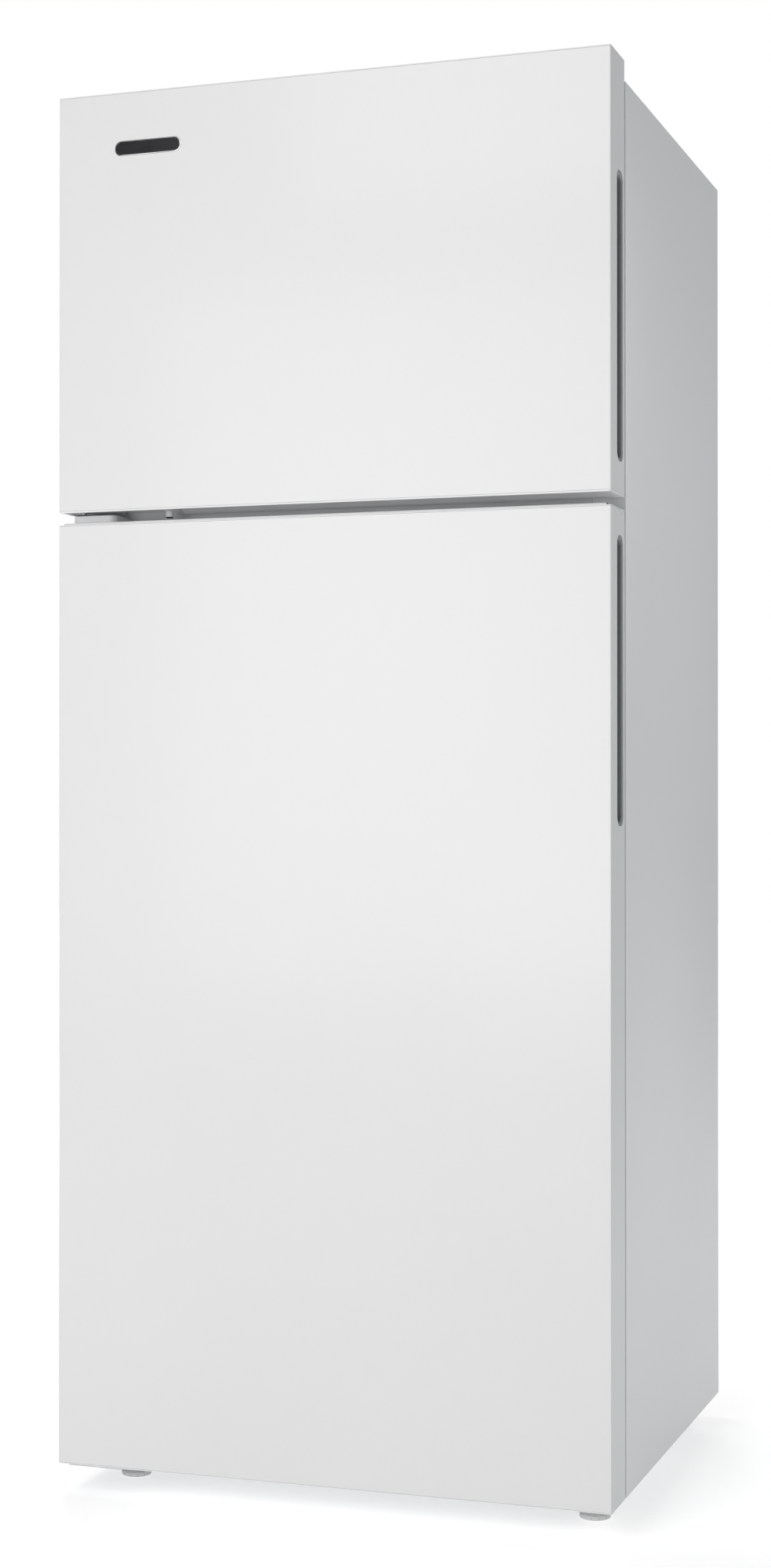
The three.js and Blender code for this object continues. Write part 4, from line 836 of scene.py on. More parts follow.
def machine_space():
    cx, cy = -0.170, 0.220
    shell = [
        (0.0002, 0.0622), (0.046, 0.0626), (0.057, 0.066), (0.064, 0.074), (0.0685, 0.092), (0.070, 0.125)
    ]
    shell += [
        (0.070, 0.147), (0.0722, 0.1482), (0.0730, 0.1500), (0.0730, 0.1545), (0.0722, 0.1560),
        (0.0700, 0.1572)
    ]
    for i in range(1, 10):
        a = i * math.pi / 20
        shell.append((0.070 * math.cos(a), 0.158 + 0.058 * math.sin(a)))
    shell.append((0.0002, 0.216))
    squeezed = []
    verts, faces = turned("z", (0, 0), shell, 48)
    for vx, vy, vz in verts:
        squeezed.append((cx + vx, cy + vy * 0.985, vz))
    piece("compressor_shell", "cabinet", "black_paint", squeezed, faces, ("compressor",), "black_steel")
    foot = block("z", (cx - 0.095, cx + 0.095), (cy - 0.050, cy + 0.050), (0.060, 0.063), 0.018, 0.0008, 6)
    piece("compressor_foot", "cabinet", "black_paint", *foot, (), "black_steel")
    for i, (sx, sy) in enumerate(((-1, -1), (-1, 1), (1, -1), (1, 1))):
        at = (cx + sx * 0.080, cy + sy * 0.034)
        rubber = [(0.0040, 0.0463), (0.0100, 0.0463), (0.0104, 0.0500), (0.0084, 0.0530), (0.0104, 0.0562)]
        rubber += [
            (0.0100, 0.0598), (0.0074, 0.0604), (0.0074, 0.0652), (0.0092, 0.0662), (0.0088, 0.0680),
            (0.0040, 0.0682)
        ]
        piece(
            f"compressor_grommet_{i}", "cabinet", "rubber", *turned("z", at, rubber, 24), (),
            "black_plastic"
        )
        bolt = [
            (0.0002, 0.0683), (0.0058, 0.0683), (0.0060, 0.0690), (0.0056, 0.0706), (0.0034, 0.0712),
            (0.0030, 0.0760)
        ]
        piece(
            f"compressor_bolt_{i}", "cabinet", "steel", *turned("z", at, bolt + [(0.0002, 0.0764)], 6), (),
            "galvanised"
        )
    box_x, box_z = (cx + 0.0690, cx + 0.0960), (0.090, 0.142)
    relay = block("x", (cy - 0.028, cy + 0.028), box_z, box_x, 0.006, 0.0025, 6)
    piece("compressor_relay_cover", "cabinet", "black", *relay, (), "black_plastic")
    suction = [
        (cx - 0.066, cy, 0.120), (cx - 0.094, cy, 0.124), (cx - 0.104, cy - 0.004, 0.150),
        (cx - 0.104, cy - 0.010, 0.215)
    ]
    suction += [
        (cx - 0.098, cy - 0.030, 0.234), (cx - 0.080, cy - 0.060, 0.238), (cx - 0.070, cy - 0.078, 0.238)
    ]
    tube("suction_pipe", "cabinet", "copper", suction, 0.0042)
    discharge = [
        (cx - 0.030, cy - 0.060, 0.128), (cx - 0.036, cy - 0.070, 0.150), (cx - 0.030, cy - 0.070, 0.210)
    ]
    discharge += [
        (cx + 0.02, cy - 0.070, 0.226), (cx + 0.28, cy - 0.070, 0.226), (cx + 0.33, cy - 0.060, 0.220)
    ]
    discharge += [
        (cx + 0.34, cy - 0.030, 0.180), (cx + 0.34, cy - 0.010, 0.112), (cx + 0.32, cy, 0.098),
        (cx + 0.22, cy, 0.094)
    ]
    tube("discharge_pipe", "cabinet", "copper", discharge, 0.0026)
    process = [
        (cx + 0.030, cy + 0.062, 0.120), (cx + 0.036, cy + 0.073, 0.126), (cx + 0.037, cy + 0.075, 0.150),
        (cx + 0.037, cy + 0.075, 0.176)
    ]
    tube("process_pipe", "cabinet", "copper", process, 0.0032)

    tx, ty, tz = span("evaporating_tray")
    piece(
        "drip_tray", "cabinet", "tray", *tub(tx, ty, tz, 0.0022, 0.014, 0.003, 0.003, 0.006),
        ("evaporating_tray",), "door_plastic"
    )

    soften("machine_cover", 0.0008, 2)
    mx, my, mz = span("machine_cover")
    for side in (-1, 1):
        for i, level in enumerate((mz[0] + 0.02, mz[1] - 0.048)):
            name = f"machine_cover_screw_{'left' if side < 0 else 'right'}_{i}"
            screw(name, "cabinet", "x", ((my[0] + my[1]) / 2, level), side * (mx[1] - 0.0003), side, 0.004)
    inlet = (LEFT + 0.045, 0.120)
    bush = [
        (0.0052, my[1] - 0.012), (0.0052, my[1] - 0.0006), (0.0058, my[1]), (0.0088, my[1]),
        (0.0094, my[1] - 0.0008)
    ]
    bush += [(0.0094, my[1] - 0.003), (0.0086, my[1] - 0.012)]
    ring = loft(round_rings("y", inlet, bush, 32), closed=True)
    piece("lead_inlet_bush", "cabinet", "rubber", *ring, (), "black_plastic")


hinges()
feet()
rollers()
rear_side()
machine_space()

# ---------------------------------------------------------------- food spaces

def rounded_room(x, outline_yz, radius):
    """The empty space of a liner: an outline in Y and Z pushed along X, with rounded edges."""
    bm = bmesh.new()
    rows = [[bm.verts.new((level, a, b)) for a, b in outline_yz] for level in x]
    n = len(outline_yz)
    for i in range(n):
        bm.faces.new((rows[0][i], rows[0][(i + 1) % n], rows[1][(i + 1) % n], rows[1][i]))
    bm.faces.new(rows[0])
    bm.faces.new(rows[1])
    bmesh.ops.recalc_face_normals(bm, faces=bm.faces)
    mouth = min(a for a, _ in outline_yz)
    edges = [e for e in bm.edges if not all(v.co.y < mouth + 1e-5 for v in e.verts)]
    bmesh.ops.bevel(
        bm, geom=edges, offset=radius, segments=5, profile=0.5, affect="EDGES", clamp_overlap=True
    )
    bm.verts.index_update()
    verts = [tuple(v.co) for v in bm.verts]
    faces = [tuple(v.index for v in f.verts) for f in bm.faces]
    bm.free()
    return verts, faces


def liner(node, name, room, wall, shelves):
    """A formed liner: the wall round a rounded room, a front flange and a runner under each shelf."""
    x, y, z = span(node)
    (rx0, rx1), outline_yz = room
    front = y[0]
    low, high = min(b for _, b in outline_yz), max(b for _, b in outline_yz)
    grown = []
    for a, b in outline_yz:
        ga = a + wall if a > front + 0.01 else front + 0.001
        gb = b + wall if b > (low + high) / 2 else b - wall
        grown.append((ga, gb))
    verts, faces = extruded("x", grown, (rx0 - wall, rx1 + wall))
    shell = piece(name, "cabinet", "liner", verts, faces, (node,), "liner_plastic")
    flange = block("y", (x[0], x[1]), z, (front, front + 0.002), 0.004, 0.0006)
    cut_out(shell, *flange, operation="UNION")
    mouth = [(a if a > front + 0.01 else front - 0.02, b) for a, b in outline_yz]
    cut_out(shell, *rounded_room((rx0, rx1), mouth, 0.009))
    for label, level, y0, y1, reach in shelves:
        for side, wall_x in (("left", rx0), ("right", rx1)):
            rail_x = (wall_x - 0.001, wall_x + reach) if side == "left" else (wall_x - reach, wall_x + 0.001)
            rail = block("y", rail_x, (level - 0.008, level), (y0, y1), 0.0028, 0.003, 5)
            piece(f"{label}_runner_{side}", "cabinet", "liner", *rail, (), "liner_plastic")
    return shell


RUNNER_TOPS = {"upper_shelf": 0.960, "middle_shelf": 0.770, "lower_shelf": 0.575, "crisper_cover": 0.385}
FREEZER_RUNNER_TOP = 1.430
RUNNER_REACH = 0.011
FIT = 0.0003
GLASS = 0.005


def liners():
    shelf_y = span("fridge_shelf_upper")[1]
    half, back, step = 0.2995, 0.241, 0.100
    floor_z, step_z, ceiling = 0.100, 0.290, 1.172
    front = CAB_FRONT
    profile = [
        (front, floor_z), (step, floor_z), (step, step_z), (back, step_z), (back, ceiling), (front, ceiling)
    ]
    rails = []
    for name, level in RUNNER_TOPS.items():
        rails.append((name, level, shelf_y[0] + 0.011, shelf_y[1] - 0.004, RUNNER_REACH))
    rails.append(("crisper", 0.352, shelf_y[0] + 0.014, step - 0.006, RUNNER_REACH))
    shell = liner("fridge_liner", "fridge_inner_wall", ((-half, half), profile), 0.0025, rails)
    switch = block("y", (half - 0.032, half + 0.001), (1.039, 1.063), (-0.212, -0.180), 0.004, 0.002)
    piece("door_switch_body", "cabinet", "trim", *switch, (), "liner_plastic")

    half, back = 0.2895, 0.236
    profile = [(front, 1.236), (back, 1.236), (back, 1.640), (front, 1.640)]
    rails = [("freezer_shelf", FREEZER_RUNNER_TOP, shelf_y[0] + 0.006, 0.140, RUNNER_REACH)]
    liner("freezer_liner", "freezer_inner_wall", ((-half, half), profile), 0.0025, rails)
    return shell


def plunger():
    x, y, z = span("door_switch_plunger")
    r = (x[1] - x[0]) / 2
    at = ((x[0] + x[1]) / 2, (z[0] + z[1]) / 2)
    shape = [
        (0.0002, y[0]), (r * 0.55, y[0] + 0.0002), (r * 0.9, y[0] + 0.0014), (r, y[0] + 0.0034),
        (r, y[1] - 0.0006), (r * 0.8, y[1])
    ]
    piece(
        "door_switch_button", "door_switch_plunger", "trim", *turned("y", at, shape, 28),
        ("door_switch_plunger",), "door_plastic"
    )


def glass_shelf(node, label, front_nose, rear_stop, base):
    """Toughened glass with a moulded nose and, in the fridge, a rear stop."""
    x, y = span(node)[:2]
    thick = GLASS
    pane_y = (y[0] + 0.006, y[1])
    pane = block("z", x, pane_y, (base, base + thick), 0.010, 0.0008, 5)
    piece(f"{label}_glass", "cabinet", "glass", *pane, (node,), "shelf_glass")
    nose_x = (x[0] + 0.014, x[1] - 0.014)
    low, high = front_nose
    u0 = y[0]
    shape = [(u0 + 0.0125, base - 0.0004), (u0 + 0.0125, low + 0.002), (u0 + 0.011, low)]
    shape += [(a, b) for a, b in arc((u0 + 0.0035, low + 0.0035), 0.0035, -90, -180, 5)]
    shape += [(a, b) for a, b in arc((u0 + 0.0035, high - 0.0035), 0.0035, 180, 90, 5)]
    shape += [
        (u0 + 0.010, high), (u0 + 0.013, high - 0.0016), (u0 + 0.013, base + thick + 0.0002),
        (u0 + 0.0062, base + thick + 0.0002), (u0 + 0.0062, base - 0.0004)
    ]
    nose = piece(f"{label}_nose", "cabinet", "shelf_trim", *extruded("x", shape, nose_x), (), "liner_plastic")
    soft_ends(nose, 0.0006)
    if rear_stop:
        stop = block(
            "x", (y[1] - 0.008, y[1]), (base + 0.0008, base + 0.018), (x[0] + 0.020, x[1] - 0.020), 0.0026,
            0.002, 5
        )
        piece(f"{label}_stop", "cabinet", "shelf_trim", *stop, (), "liner_plastic")


def shelves():
    for place in ("upper", "middle", "lower"):
        base = RUNNER_TOPS[f"{place}_shelf"] + FIT
        glass_shelf(f"fridge_shelf_{place}", f"{place}_shelf", (base - 0.006, base + 0.009), True, base)
    base = FREEZER_RUNNER_TOP + FIT
    glass_shelf("freezer_shelf", "freezer_shelf", (base - 0.008, base + 0.0064), False, base)
    dx, dy, dz = (0.008, 0.272), (-0.132, 0.196), 0.548
    for side, inner, out in (("left", dx[0] - 0.002, -1), ("right", dx[1] + 0.002, 1)):
        far = inner + out * 0.008
        web = block("y", sorted((far, far - out * 0.003)), (dz - 0.006, 0.5752), dy, 0.0008, 0.001)
        lip = block("y", sorted((inner, far)), (dz - 0.006, dz - 0.003), dy, 0.0009, 0.001)
        piece(f"deli_hanger_{side}", "cabinet", "shelf_trim", *joined(web, lip), (), "liner_plastic")

    x, y, z = span("crisper_cover")
    base = RUNNER_TOPS["crisper_cover"] + FIT
    pane = block("z", x, (y[0] + 0.0065, y[1]), (base, base + GLASS), 0.010, 0.0008, 5)
    piece("crisper_cover_glass", "cabinet", "glass", *pane, ("crisper_cover",), "shelf_glass")
    nose = block(
        "x", (y[0], y[0] + 0.013), (base - 0.008, base + 0.014), (x[0] + 0.014, x[1] - 0.014), 0.003, 0.002,
        6
    )
    front = piece("crisper_cover_nose", "cabinet", "shelf_trim", *nose, (), "liner_plastic")
    track = block(
        "y", (0.048, 0.112), (base - 0.002, base + 0.008), (y[0] - 0.002, y[0] + 0.005), 0.002, 0.0002
    )
    cut_out(front, *track)
    for i in range(5):
        vent_x = 0.052 + i * 0.012
        slot = block(
            "y", (vent_x, vent_x + 0.006), (base + 0.0006, base + 0.0054), (y[0] + 0.003, y[0] + 0.0062),
            0.002, 0.0001
        )
        cut_out(front, *slot)
    x, y, z = span("humidity_slider")
    shoe = block("y", x, (z[0], z[1]), (y[1] - 0.004, y[1]), 0.0016, 0.0008)
    thumb_x = (x[0] + x[1]) / 2
    ridges = [shoe]
    for i in (-1, 0, 1):
        cx = thumb_x + i * 0.0022
        ridges.append(
            block(
                "y", (cx - 0.0008, cx + 0.0008), (z[0] + 0.001, z[1] - 0.001), (y[0], y[1] - 0.003), 0.0007,
                0.0006
            )
        )
    ridges.append(
        block(
            "y", (thumb_x - 0.0030, thumb_x + 0.0030), (z[0] + 0.001, z[1] - 0.001),
            (y[0] + 0.0014, y[1] - 0.003), 0.001, 0.0006
        )
    )
    piece("humidity_knob", "humidity_slider", "knob", *joined(*ridges), ("humidity_slider",), "door_plastic")


def drawer(node, label, look, slot, body, rims, pull, wall=0.003, r=0.014):
    x, y, z = body
    parts = [tub(x, y, z, wall, r, 0.006, 0.002, 0.010)]
    for rim_x, rim_y, rim_z in rims:
        parts.append(block("y", rim_x, rim_z, rim_y, 0.0014, 0.002))
    piece(f"{label}_tub", node, look, *joined(*parts), (node,), slot)
    (px0, px1), (py0, py1), (pz0, pz1) = pull
    shape = [(py1, pz0 + 0.004), (py0 + 0.004, pz0), (py0 + 0.0015, pz0 + 0.0006), (py0, pz0 + 0.003)]
    shape += [(a, b) for a, b in arc((py0 + 0.006, pz1 - 0.006), 0.006, 180, 90, 6)]
    shape += [
        (py1, pz1), (py1, pz1 - 0.0022), (py0 + 0.007, pz1 - 0.0026), (py0 + 0.0034, pz1 - 0.006),
        (py0 + 0.0034, pz0 + 0.0036), (py1, pz0 + 0.007)
    ]
    handle = piece(
        f"{label}_pull", node, "shelf_trim", *extruded("x", shape, (px0, px1)), (), "liner_plastic"
    )
    soft_ends(handle, 0.0005)


def drawers():
    half, y = 0.2855, (-0.138, 0.094)
    z = (0.105, 0.358)
    rims = [((half - 0.001, half + 0.010), (y[0] + 0.016, y[1] - 0.016), (0.3523, 0.356))]
    rims.append(((-half - 0.010, -half + 0.001), rims[0][1], rims[0][2]))
    drawer("crisper_drawer", "crisper", "clear", "clear_plastic", ((-half, half), y, z), rims,
           ((-0.150, 0.150), (y[0] - 0.011, y[0] + 0.0012), (z[1] - 0.020, z[1])))
    dx, dy, dz = (0.008, 0.272), (-0.138, 0.196), (0.462, 0.548)
    rims = [
        (rx, (dy[0] + 0.014, dy[1] - 0.014), (dz[1] - 0.0027, dz[1]))
        for rx in ((dx[0] - 0.006, dx[0] + 0.001), (dx[1] - 0.001, dx[1] + 0.006))
    ]
    drawer("deli_drawer", "deli", "clear", "clear_plastic", (dx, dy, dz), rims,
           ((0.076, 0.204), (dy[0] - 0.009, dy[0] + 0.0012), (dz[1] - 0.016, dz[1])), r=0.012)
    ix, iy, iz = span("ice_bin")
    body = ((ix[0], ix[1]), (iy[0] + 0.008, iy[1]), iz)
    drawer("ice_bin", "ice", "frost", "frosted_plastic", body, [],
           ((-0.233, -0.137), (iy[0], iy[0] + 0.0092), (1.490, 1.512)), 0.0025, 0.010)


LID_PIVOT = tuple(anchor("dairy_lid_hinge")[1:])


DOOR_BINS = {
    "freezer_bin_upper": "freezer_door", "freezer_bin_lower": "freezer_door", "middle_bin": "fridge_door",
    "bottle_bin": "fridge_door", "dairy_box": "fridge_door",
}


def door_bins():
    for node, body in DOOR_BINS.items():
        x, y, z = span(node)
        top = z[1] if node != "dairy_box" else z[1] - 0.014
        parts = [tub(x, y, (z[0], top), 0.0028, 0.012, 0.005, 0.002, 0.008)]
        if node == "dairy_box":
            pivot_y = LID_PIVOT[0]
            for ear_x in ((x[0], x[0] + 0.003), (x[1] - 0.003, x[1])):
                parts.append(
                    block(
                        "x", (pivot_y - 0.007, pivot_y + 0.008), (top - 0.010, z[1]), ear_x, 0.006, 0.0006,
                        6
                    )
                )
        piece(f"{node}_tub", body, "clear", *joined(*parts), (node,), "clear_plastic")
        band_z = (top - 0.022, top - 0.004) if node != "dairy_box" else (top - 0.034, top - 0.026)
        inset = 0.0012
        low, high = band_z
        band = [(inset, low + 0.0006), (inset - 0.0007, low + 0.0014), (inset - 0.0007, high - 0.0014)]
        band += [(inset, high - 0.0006), (inset + 0.0016, high), (inset + 0.0016, low)]
        hoop = loft(rounded_rings("z", x, y, 0.012, band, 7), closed=True)
        piece(f"{node}_band", body, "shelf_trim", *hoop, (), "liner_plastic")
    x, y, z = span("dairy_lid")
    pivot_y, pivot_z = LID_PIVOT
    lid_x = (x[0] + 0.0035, x[1] - 0.0035)
    top, front = 1.021, y[1]
    shape = [
        (pivot_y - 0.004, pivot_z - 0.004), (pivot_y + 0.006, top), (front - 0.010, top),
        (front - 0.0025, top - 0.008), (front - 0.0025, z[0] + 0.0008)
    ]
    shape += [(front - 0.0012, z[0]), (front, z[0] + 0.0008), (front, top - 0.006)]
    shape += [(a, b) for a, b in arc((front - 0.010, top - 0.0074), 0.010, 10, 90, 6)]
    shape += [
        (pivot_y + 0.012, top + 0.0030), (pivot_y + 0.006, top + 0.007),
        (pivot_y + 0.002, pivot_z + 0.0045), (pivot_y - 0.003, pivot_z + 0.0040), (pivot_y - 0.005, pivot_z)
    ]
    lid = piece(
        "dairy_lid_shell", "dairy_lid", "frost", *extruded("x", shape, lid_x), ("dairy_lid",),
        "frosted_plastic"
    )
    soft_ends(lid, 0.0006)
    pin = [(0.0018, x[0]), (0.0024, x[0] + 0.0006), (0.0024, x[1] - 0.0006), (0.0018, x[1])]
    piece(
        "dairy_lid_pins", "dairy_lid", "shelf_trim", *turned("x", (pivot_y, pivot_z), pin, 20), (),
        "frosted_plastic"
    )


liners()
plunger()
shelves()
drawers()
door_bins()

# ---------------------------------------------------------------- cold side, ice maker and controls

def middle(pair):
    return (pair[0] + pair[1]) / 2


def freezer_rear():
    """Cover with its fan grille and low return slots, and the fan and fin coil behind it."""
    x, y, z = span("evaporator_cover")
    plate_y = (y[1] - 0.0028, y[1])
    fan_x, _, fan_z = (middle(pair) for pair in span("fan_blade"))
    panel = piece(
        "evaporator_front", "cabinet", "liner",
        *block("y", x, z, plate_y, 0.006, 0.0008, 5), ("evaporator_cover",), "liner_plastic",
    )
    pad_x, pad_z = (-0.180, 0.180), (1.296, z[1] - 0.0183)
    pad = [(0, plate_y[0] + 0.001)]
    for i in range(6):
        a = i * math.pi / 10
        pad.append((0.007 * (1 - math.cos(a)), plate_y[0] - (plate_y[0] - y[0]) * math.sin(a)))
    cut_out(panel, *loft(rounded_rings("y", pad_x, pad_z, 0.026, pad)), operation="UNION")
    cells = []
    grille, bar, gap = 0.044, 0.0042, 0.0078
    for row in range(-4, 5):
        level = row * (bar + gap)
        reach = math.sqrt(max(grille ** 2 - (abs(level) + gap / 2) ** 2, 0.0))
        if reach < 0.010:
            continue
        for side in (-1, 1):
            ends = sorted((side * 0.0028, side * reach))
            cell_x = (fan_x + ends[0], fan_x + ends[1])
            cell_z = (fan_z + level - gap / 2, fan_z + level + gap / 2)
            cells.append(extruded("y", outline(cell_x, cell_z, 0.0022, 0, 3), (y[0] - 0.004, y[1] + 0.004)))
    for i in range(-4, 5):
        slot_x = (i * 0.056 - 0.019, i * 0.056 + 0.019)
        cells.append(
            extruded("y", outline(slot_x, (1.2500, 1.2600), 0.0045, 0, 4), (y[0] - 0.004, y[1] + 0.004))
        )
    cut_out(panel, *joined(*cells))
    for sx in (-1, 1):
        for sz in (1.290, z[1] - 0.012):
            cap = [
                (0.0002, plate_y[0] - 0.0022), (0.0040, plate_y[0] - 0.0018), (0.0052, plate_y[0] - 0.0006)
            ]
            cap += [(0.0054, plate_y[0] + 0.0002)]
            name = f"evaporator_front_plug_{'left' if sx < 0 else 'right'}_{'low' if sz < 1.4 else 'high'}"
            piece(
                name, "cabinet", "trim", *turned("y", (sx * (x[1] - 0.020), sz), cap, 24), (),
                "liner_plastic"
            )

    mx, my, mz = span("fan_motor")
    at = (middle(mx), middle(mz))
    can, base = 0.027, 0.040
    shape = [
        (0.0034, my[0] - 0.0004), (0.012, my[0]), (0.024, my[0] + 0.0012), (can, my[0] + 0.005),
        (can, my[0] + 0.018)
    ]
    shape += [
        (can - 0.0012, my[0] + 0.019), (can - 0.0012, my[0] + 0.021), (can, my[0] + 0.022),
        (can, my[1] - 0.006)
    ]
    shape += [
        (base - 0.001, my[1] - 0.0052), (base, my[1] - 0.0042), (base, my[1] - 0.0006),
        (base - 0.001, my[1])
    ]
    body = shape + [(0.0034, my[1])]
    piece("fan_motor_can", "cabinet", "black", *turned("y", at, body, 40), ("fan_motor",), "black_plastic")
    bx, by, _ = span("fan_blade")
    hub = [
        (0.0002, by[0]), (0.009, by[0] + 0.0004), (0.0132, by[0] + 0.0026), (0.014, by[0] + 0.006),
        (0.014, by[0] + 0.021)
    ]
    hub += [(0.0132, by[0] + 0.022), (0.0025, by[0] + 0.022), (0.0025, by[1])]
    piece("fan_hub", "fan_blade", "trim", *turned("y", at, hub, 32), ("fan_blade",), "door_plastic")
    tip = min((bx[1] - bx[0]) / 2, 0.046)
    for i in range(5):
        turn = 2 * math.pi * i / 5
        verts, faces = [], []
        across, along = 9, 9
        for skin in (0, 1):
            for k in range(along + 1):
                t = k / along
                radius = 0.0128 + (tip - 0.0128) * t
                half = math.radians(14 + 15 * math.sin(math.pi * (0.20 + 0.62 * t)))
                sweep = math.radians(16) * t * t
                for j in range(across + 1):
                    s = -1 + 2 * j / across
                    a = turn + sweep + half * s
                    pitch = s * (0.0085 - 0.0030 * t) + 0.0014 * (1 - s * s)
                    level = by[0] + 0.0112 + pitch + skin * 0.0014
                    verts.append((at[0] + radius * math.cos(a), level, at[1] + radius * math.sin(a)))
        n = (along + 1) * (across + 1)
        for k in range(along):
            for j in range(across):
                a = k * (across + 1) + j
                faces.append((a, a + 1, a + across + 2, a + across + 1))
                faces.append((n + a, n + a + across + 1, n + a + across + 2, n + a + 1))
        rim = [j for j in range(across + 1)]
        rim += [k * (across + 1) + across for k in range(1, along + 1)]
        rim += [along * (across + 1) + j for j in range(across - 1, -1, -1)]
        rim += [k * (across + 1) for k in range(along - 1, 0, -1)]
        for a, b in zip(rim, rim[1:] + rim[:1]):
            faces.append((a, b, n + b, n + a))
        piece(f"fan_vane_{i}", "fan_blade", "trim", verts, faces, (), "door_plastic")

    ex, ey, ez = span("evaporator")
    fins, fin = 46, 0.0009
    parts = []
    for i in range(fins):
        level = ex[0] + (ex[1] - ex[0] - fin) * i / (fins - 1)
        parts.append(block("x", (ey[0], ey[1]), (ez[0], ez[1]), (level, level + fin), 0.003, 0.0001, 2))
    piece("evaporator_fins", "cabinet", "fins", *joined(*parts), ("evaporator",), "aluminium_fins")
    rows = 7
    pitch = (ez[1] - ez[0] - 0.036) / (rows - 1)
    for column, level_y in enumerate((ey[0] + 0.014, ey[1] - 0.014)):
        path = []
        for i in range(rows):
            level = ez[0] + 0.018 + i * pitch
            ends = (ex[0] + 0.002, ex[1] - 0.002) if i % 2 == 0 else (ex[1] - 0.002, ex[0] + 0.002)
            path += [
                (ends[0], level_y, level), (ends[0], level_y, level), (ends[1], level_y, level),
                (ends[1], level_y, level)
            ]
        tube(f"evaporator_tube_{column}", "cabinet", "fins", path, 0.0042)


def ice_maker():
    """Open frame with two twisting trays and a lever on the front of each."""
    x, y, z = span("ice_maker_frame")
    wall, mouth_z = 0.003, 1.560
    frame_piece = piece(
        "ice_frame", "cabinet", "liner",
        *extruded("y", outline(x, z, 0.004, 0, 4), y), ("ice_maker_frame",), "liner_plastic",
    )
    base = z[0] + 0.002
    room_x = (x[0] + wall, x[1] - wall)
    room = extruded("y", outline(room_x, (base, z[1] + 0.01), 0.002, 0, 3), (y[0] + 0.004, y[1] - wall))
    cut_out(frame_piece, *room)
    opening = extruded("y", outline(room_x, (base, mouth_z), 0.006, 0, 4), (y[0] - 0.01, y[0] + 0.005))
    cut_out(frame_piece, *opening)
    for side in ("left", "right"):
        node = f"ice_tray_{side}"
        ty = span(node)[1]
        cx, axis_z = anchor(f"{node}_twist")[0], anchor(f"{node}_twist")[2]
        for radius, bore_y in ((0.0067, (y[0] - 0.01, y[0] + 0.006)), (0.0047, (y[1] - 0.006, y[1] + 0.01))):
            cut_out(frame_piece, *turned("y", (cx, axis_z), [(radius, level) for level in bore_y], 28))
        half, body_y, body_z = 0.042, (-0.129, 0.126), (axis_z - 0.020, axis_z + 0.008)
        shell = piece(
            f"{node}_body", node, "frost",
            *block("z", (cx - half, cx + half), body_y, body_z, 0.007, 0.0012, 4), (node,), "frosted_plastic",
        )
        cell_x, cell_y = (2 * half - 0.008) / 2, (body_y[1] - body_y[0] - 0.010) / 6
        cup = [(0.0085, body_z[0] + 0.0022), (0.0055, body_z[0] + 0.0032), (0.0036, body_z[0] + 0.0062)]
        cup.append((0, body_z[1] + 0.002))
        pockets = []
        for i in range(2):
            for j in range(6):
                low_x = cx - half + 0.004 + i * cell_x + 0.0014
                low_y = body_y[0] + 0.005 + j * cell_y + 0.0014
                px, py = (low_x, low_x + cell_x - 0.0028), (low_y, low_y + cell_y - 0.0028)
                pockets.append(loft(rounded_rings("z", px, py, 0.0072, cup, 3)))
        cut_out(shell, *joined(*pockets))
        shaft = [(0.0060, -0.1422), (0.0060, body_y[0] + 0.001)]
        dial = [
            (0.0002, -0.1470), (0.0160, -0.1470), (0.0178, -0.1462), (0.0180, -0.1450), (0.0180, -0.1424),
            (0.0002, -0.1420)
        ]
        pin = [(0.0040, body_y[1] - 0.001), (0.0040, ty[1] - 0.0006), (0.0034, ty[1])]
        at = (cx, axis_z)
        shafts = joined(turned("y", at, shaft, 28), turned("y", at, pin, 20))
        piece(f"{node}_shafts", node, "frost", *shafts, (), "frosted_plastic")
        piece(f"{node}_dial", node, "shelf_trim", *turned("y", at, dial, 36), (), "frosted_plastic")
        lever = block(
            "y", (cx - 0.005, cx + 0.005), (axis_z - 0.017, axis_z + 0.017), (ty[0], -0.1465), 0.0042,
            0.0024, 6
        )
        piece(f"{node}_lever", node, "knob", *lever, (), "frosted_plastic")


def air_duct():
    """Raised air channel down the fridge's rear wall, with louvred slots."""
    x, y, z = span("duct_panel")
    soft = 0.004
    rings = [(0.0, y[1]), (0.0, y[1] - 0.0022)]
    rings += [
        (0.0146 - soft, y[0] + soft * 0.9), (0.0150 - soft * 0.5, y[0] + soft * 0.35),
        (0.0156, y[0] + 0.0003), (0.0180, y[0])
    ]
    body = loft(rounded_rings("y", x, z, 0.010, rings, 5))
    duct = piece("air_duct", "cabinet", "liner", *body, ("duct_panel",), "liner_plastic")
    cuts, louvres = [], []
    for level in (0.640, 0.830, 1.020):
        for cx in (-0.042, 0.042):
            slot_x, slot_z = (cx - 0.026, cx + 0.026), (level - 0.006, level + 0.006)
            cuts.append(extruded("y", outline(slot_x, slot_z, 0.004, 0, 4), (y[0] - 0.004, y[1] - 0.004)))
            louvre = [(y[0] + 0.0010, level + 0.0006), (y[0] + 0.0070, level + 0.0040)]
            louvre += [(y[0] + 0.0070, level + 0.0052), (y[0] + 0.0006, level + 0.0016)]
            louvres.append(extruded("x", louvre, slot_x))
    cut_out(duct, *joined(*cuts))
    piece("air_duct_louvres", "cabinet", "shelf_trim", *joined(*louvres), (), "liner_plastic")


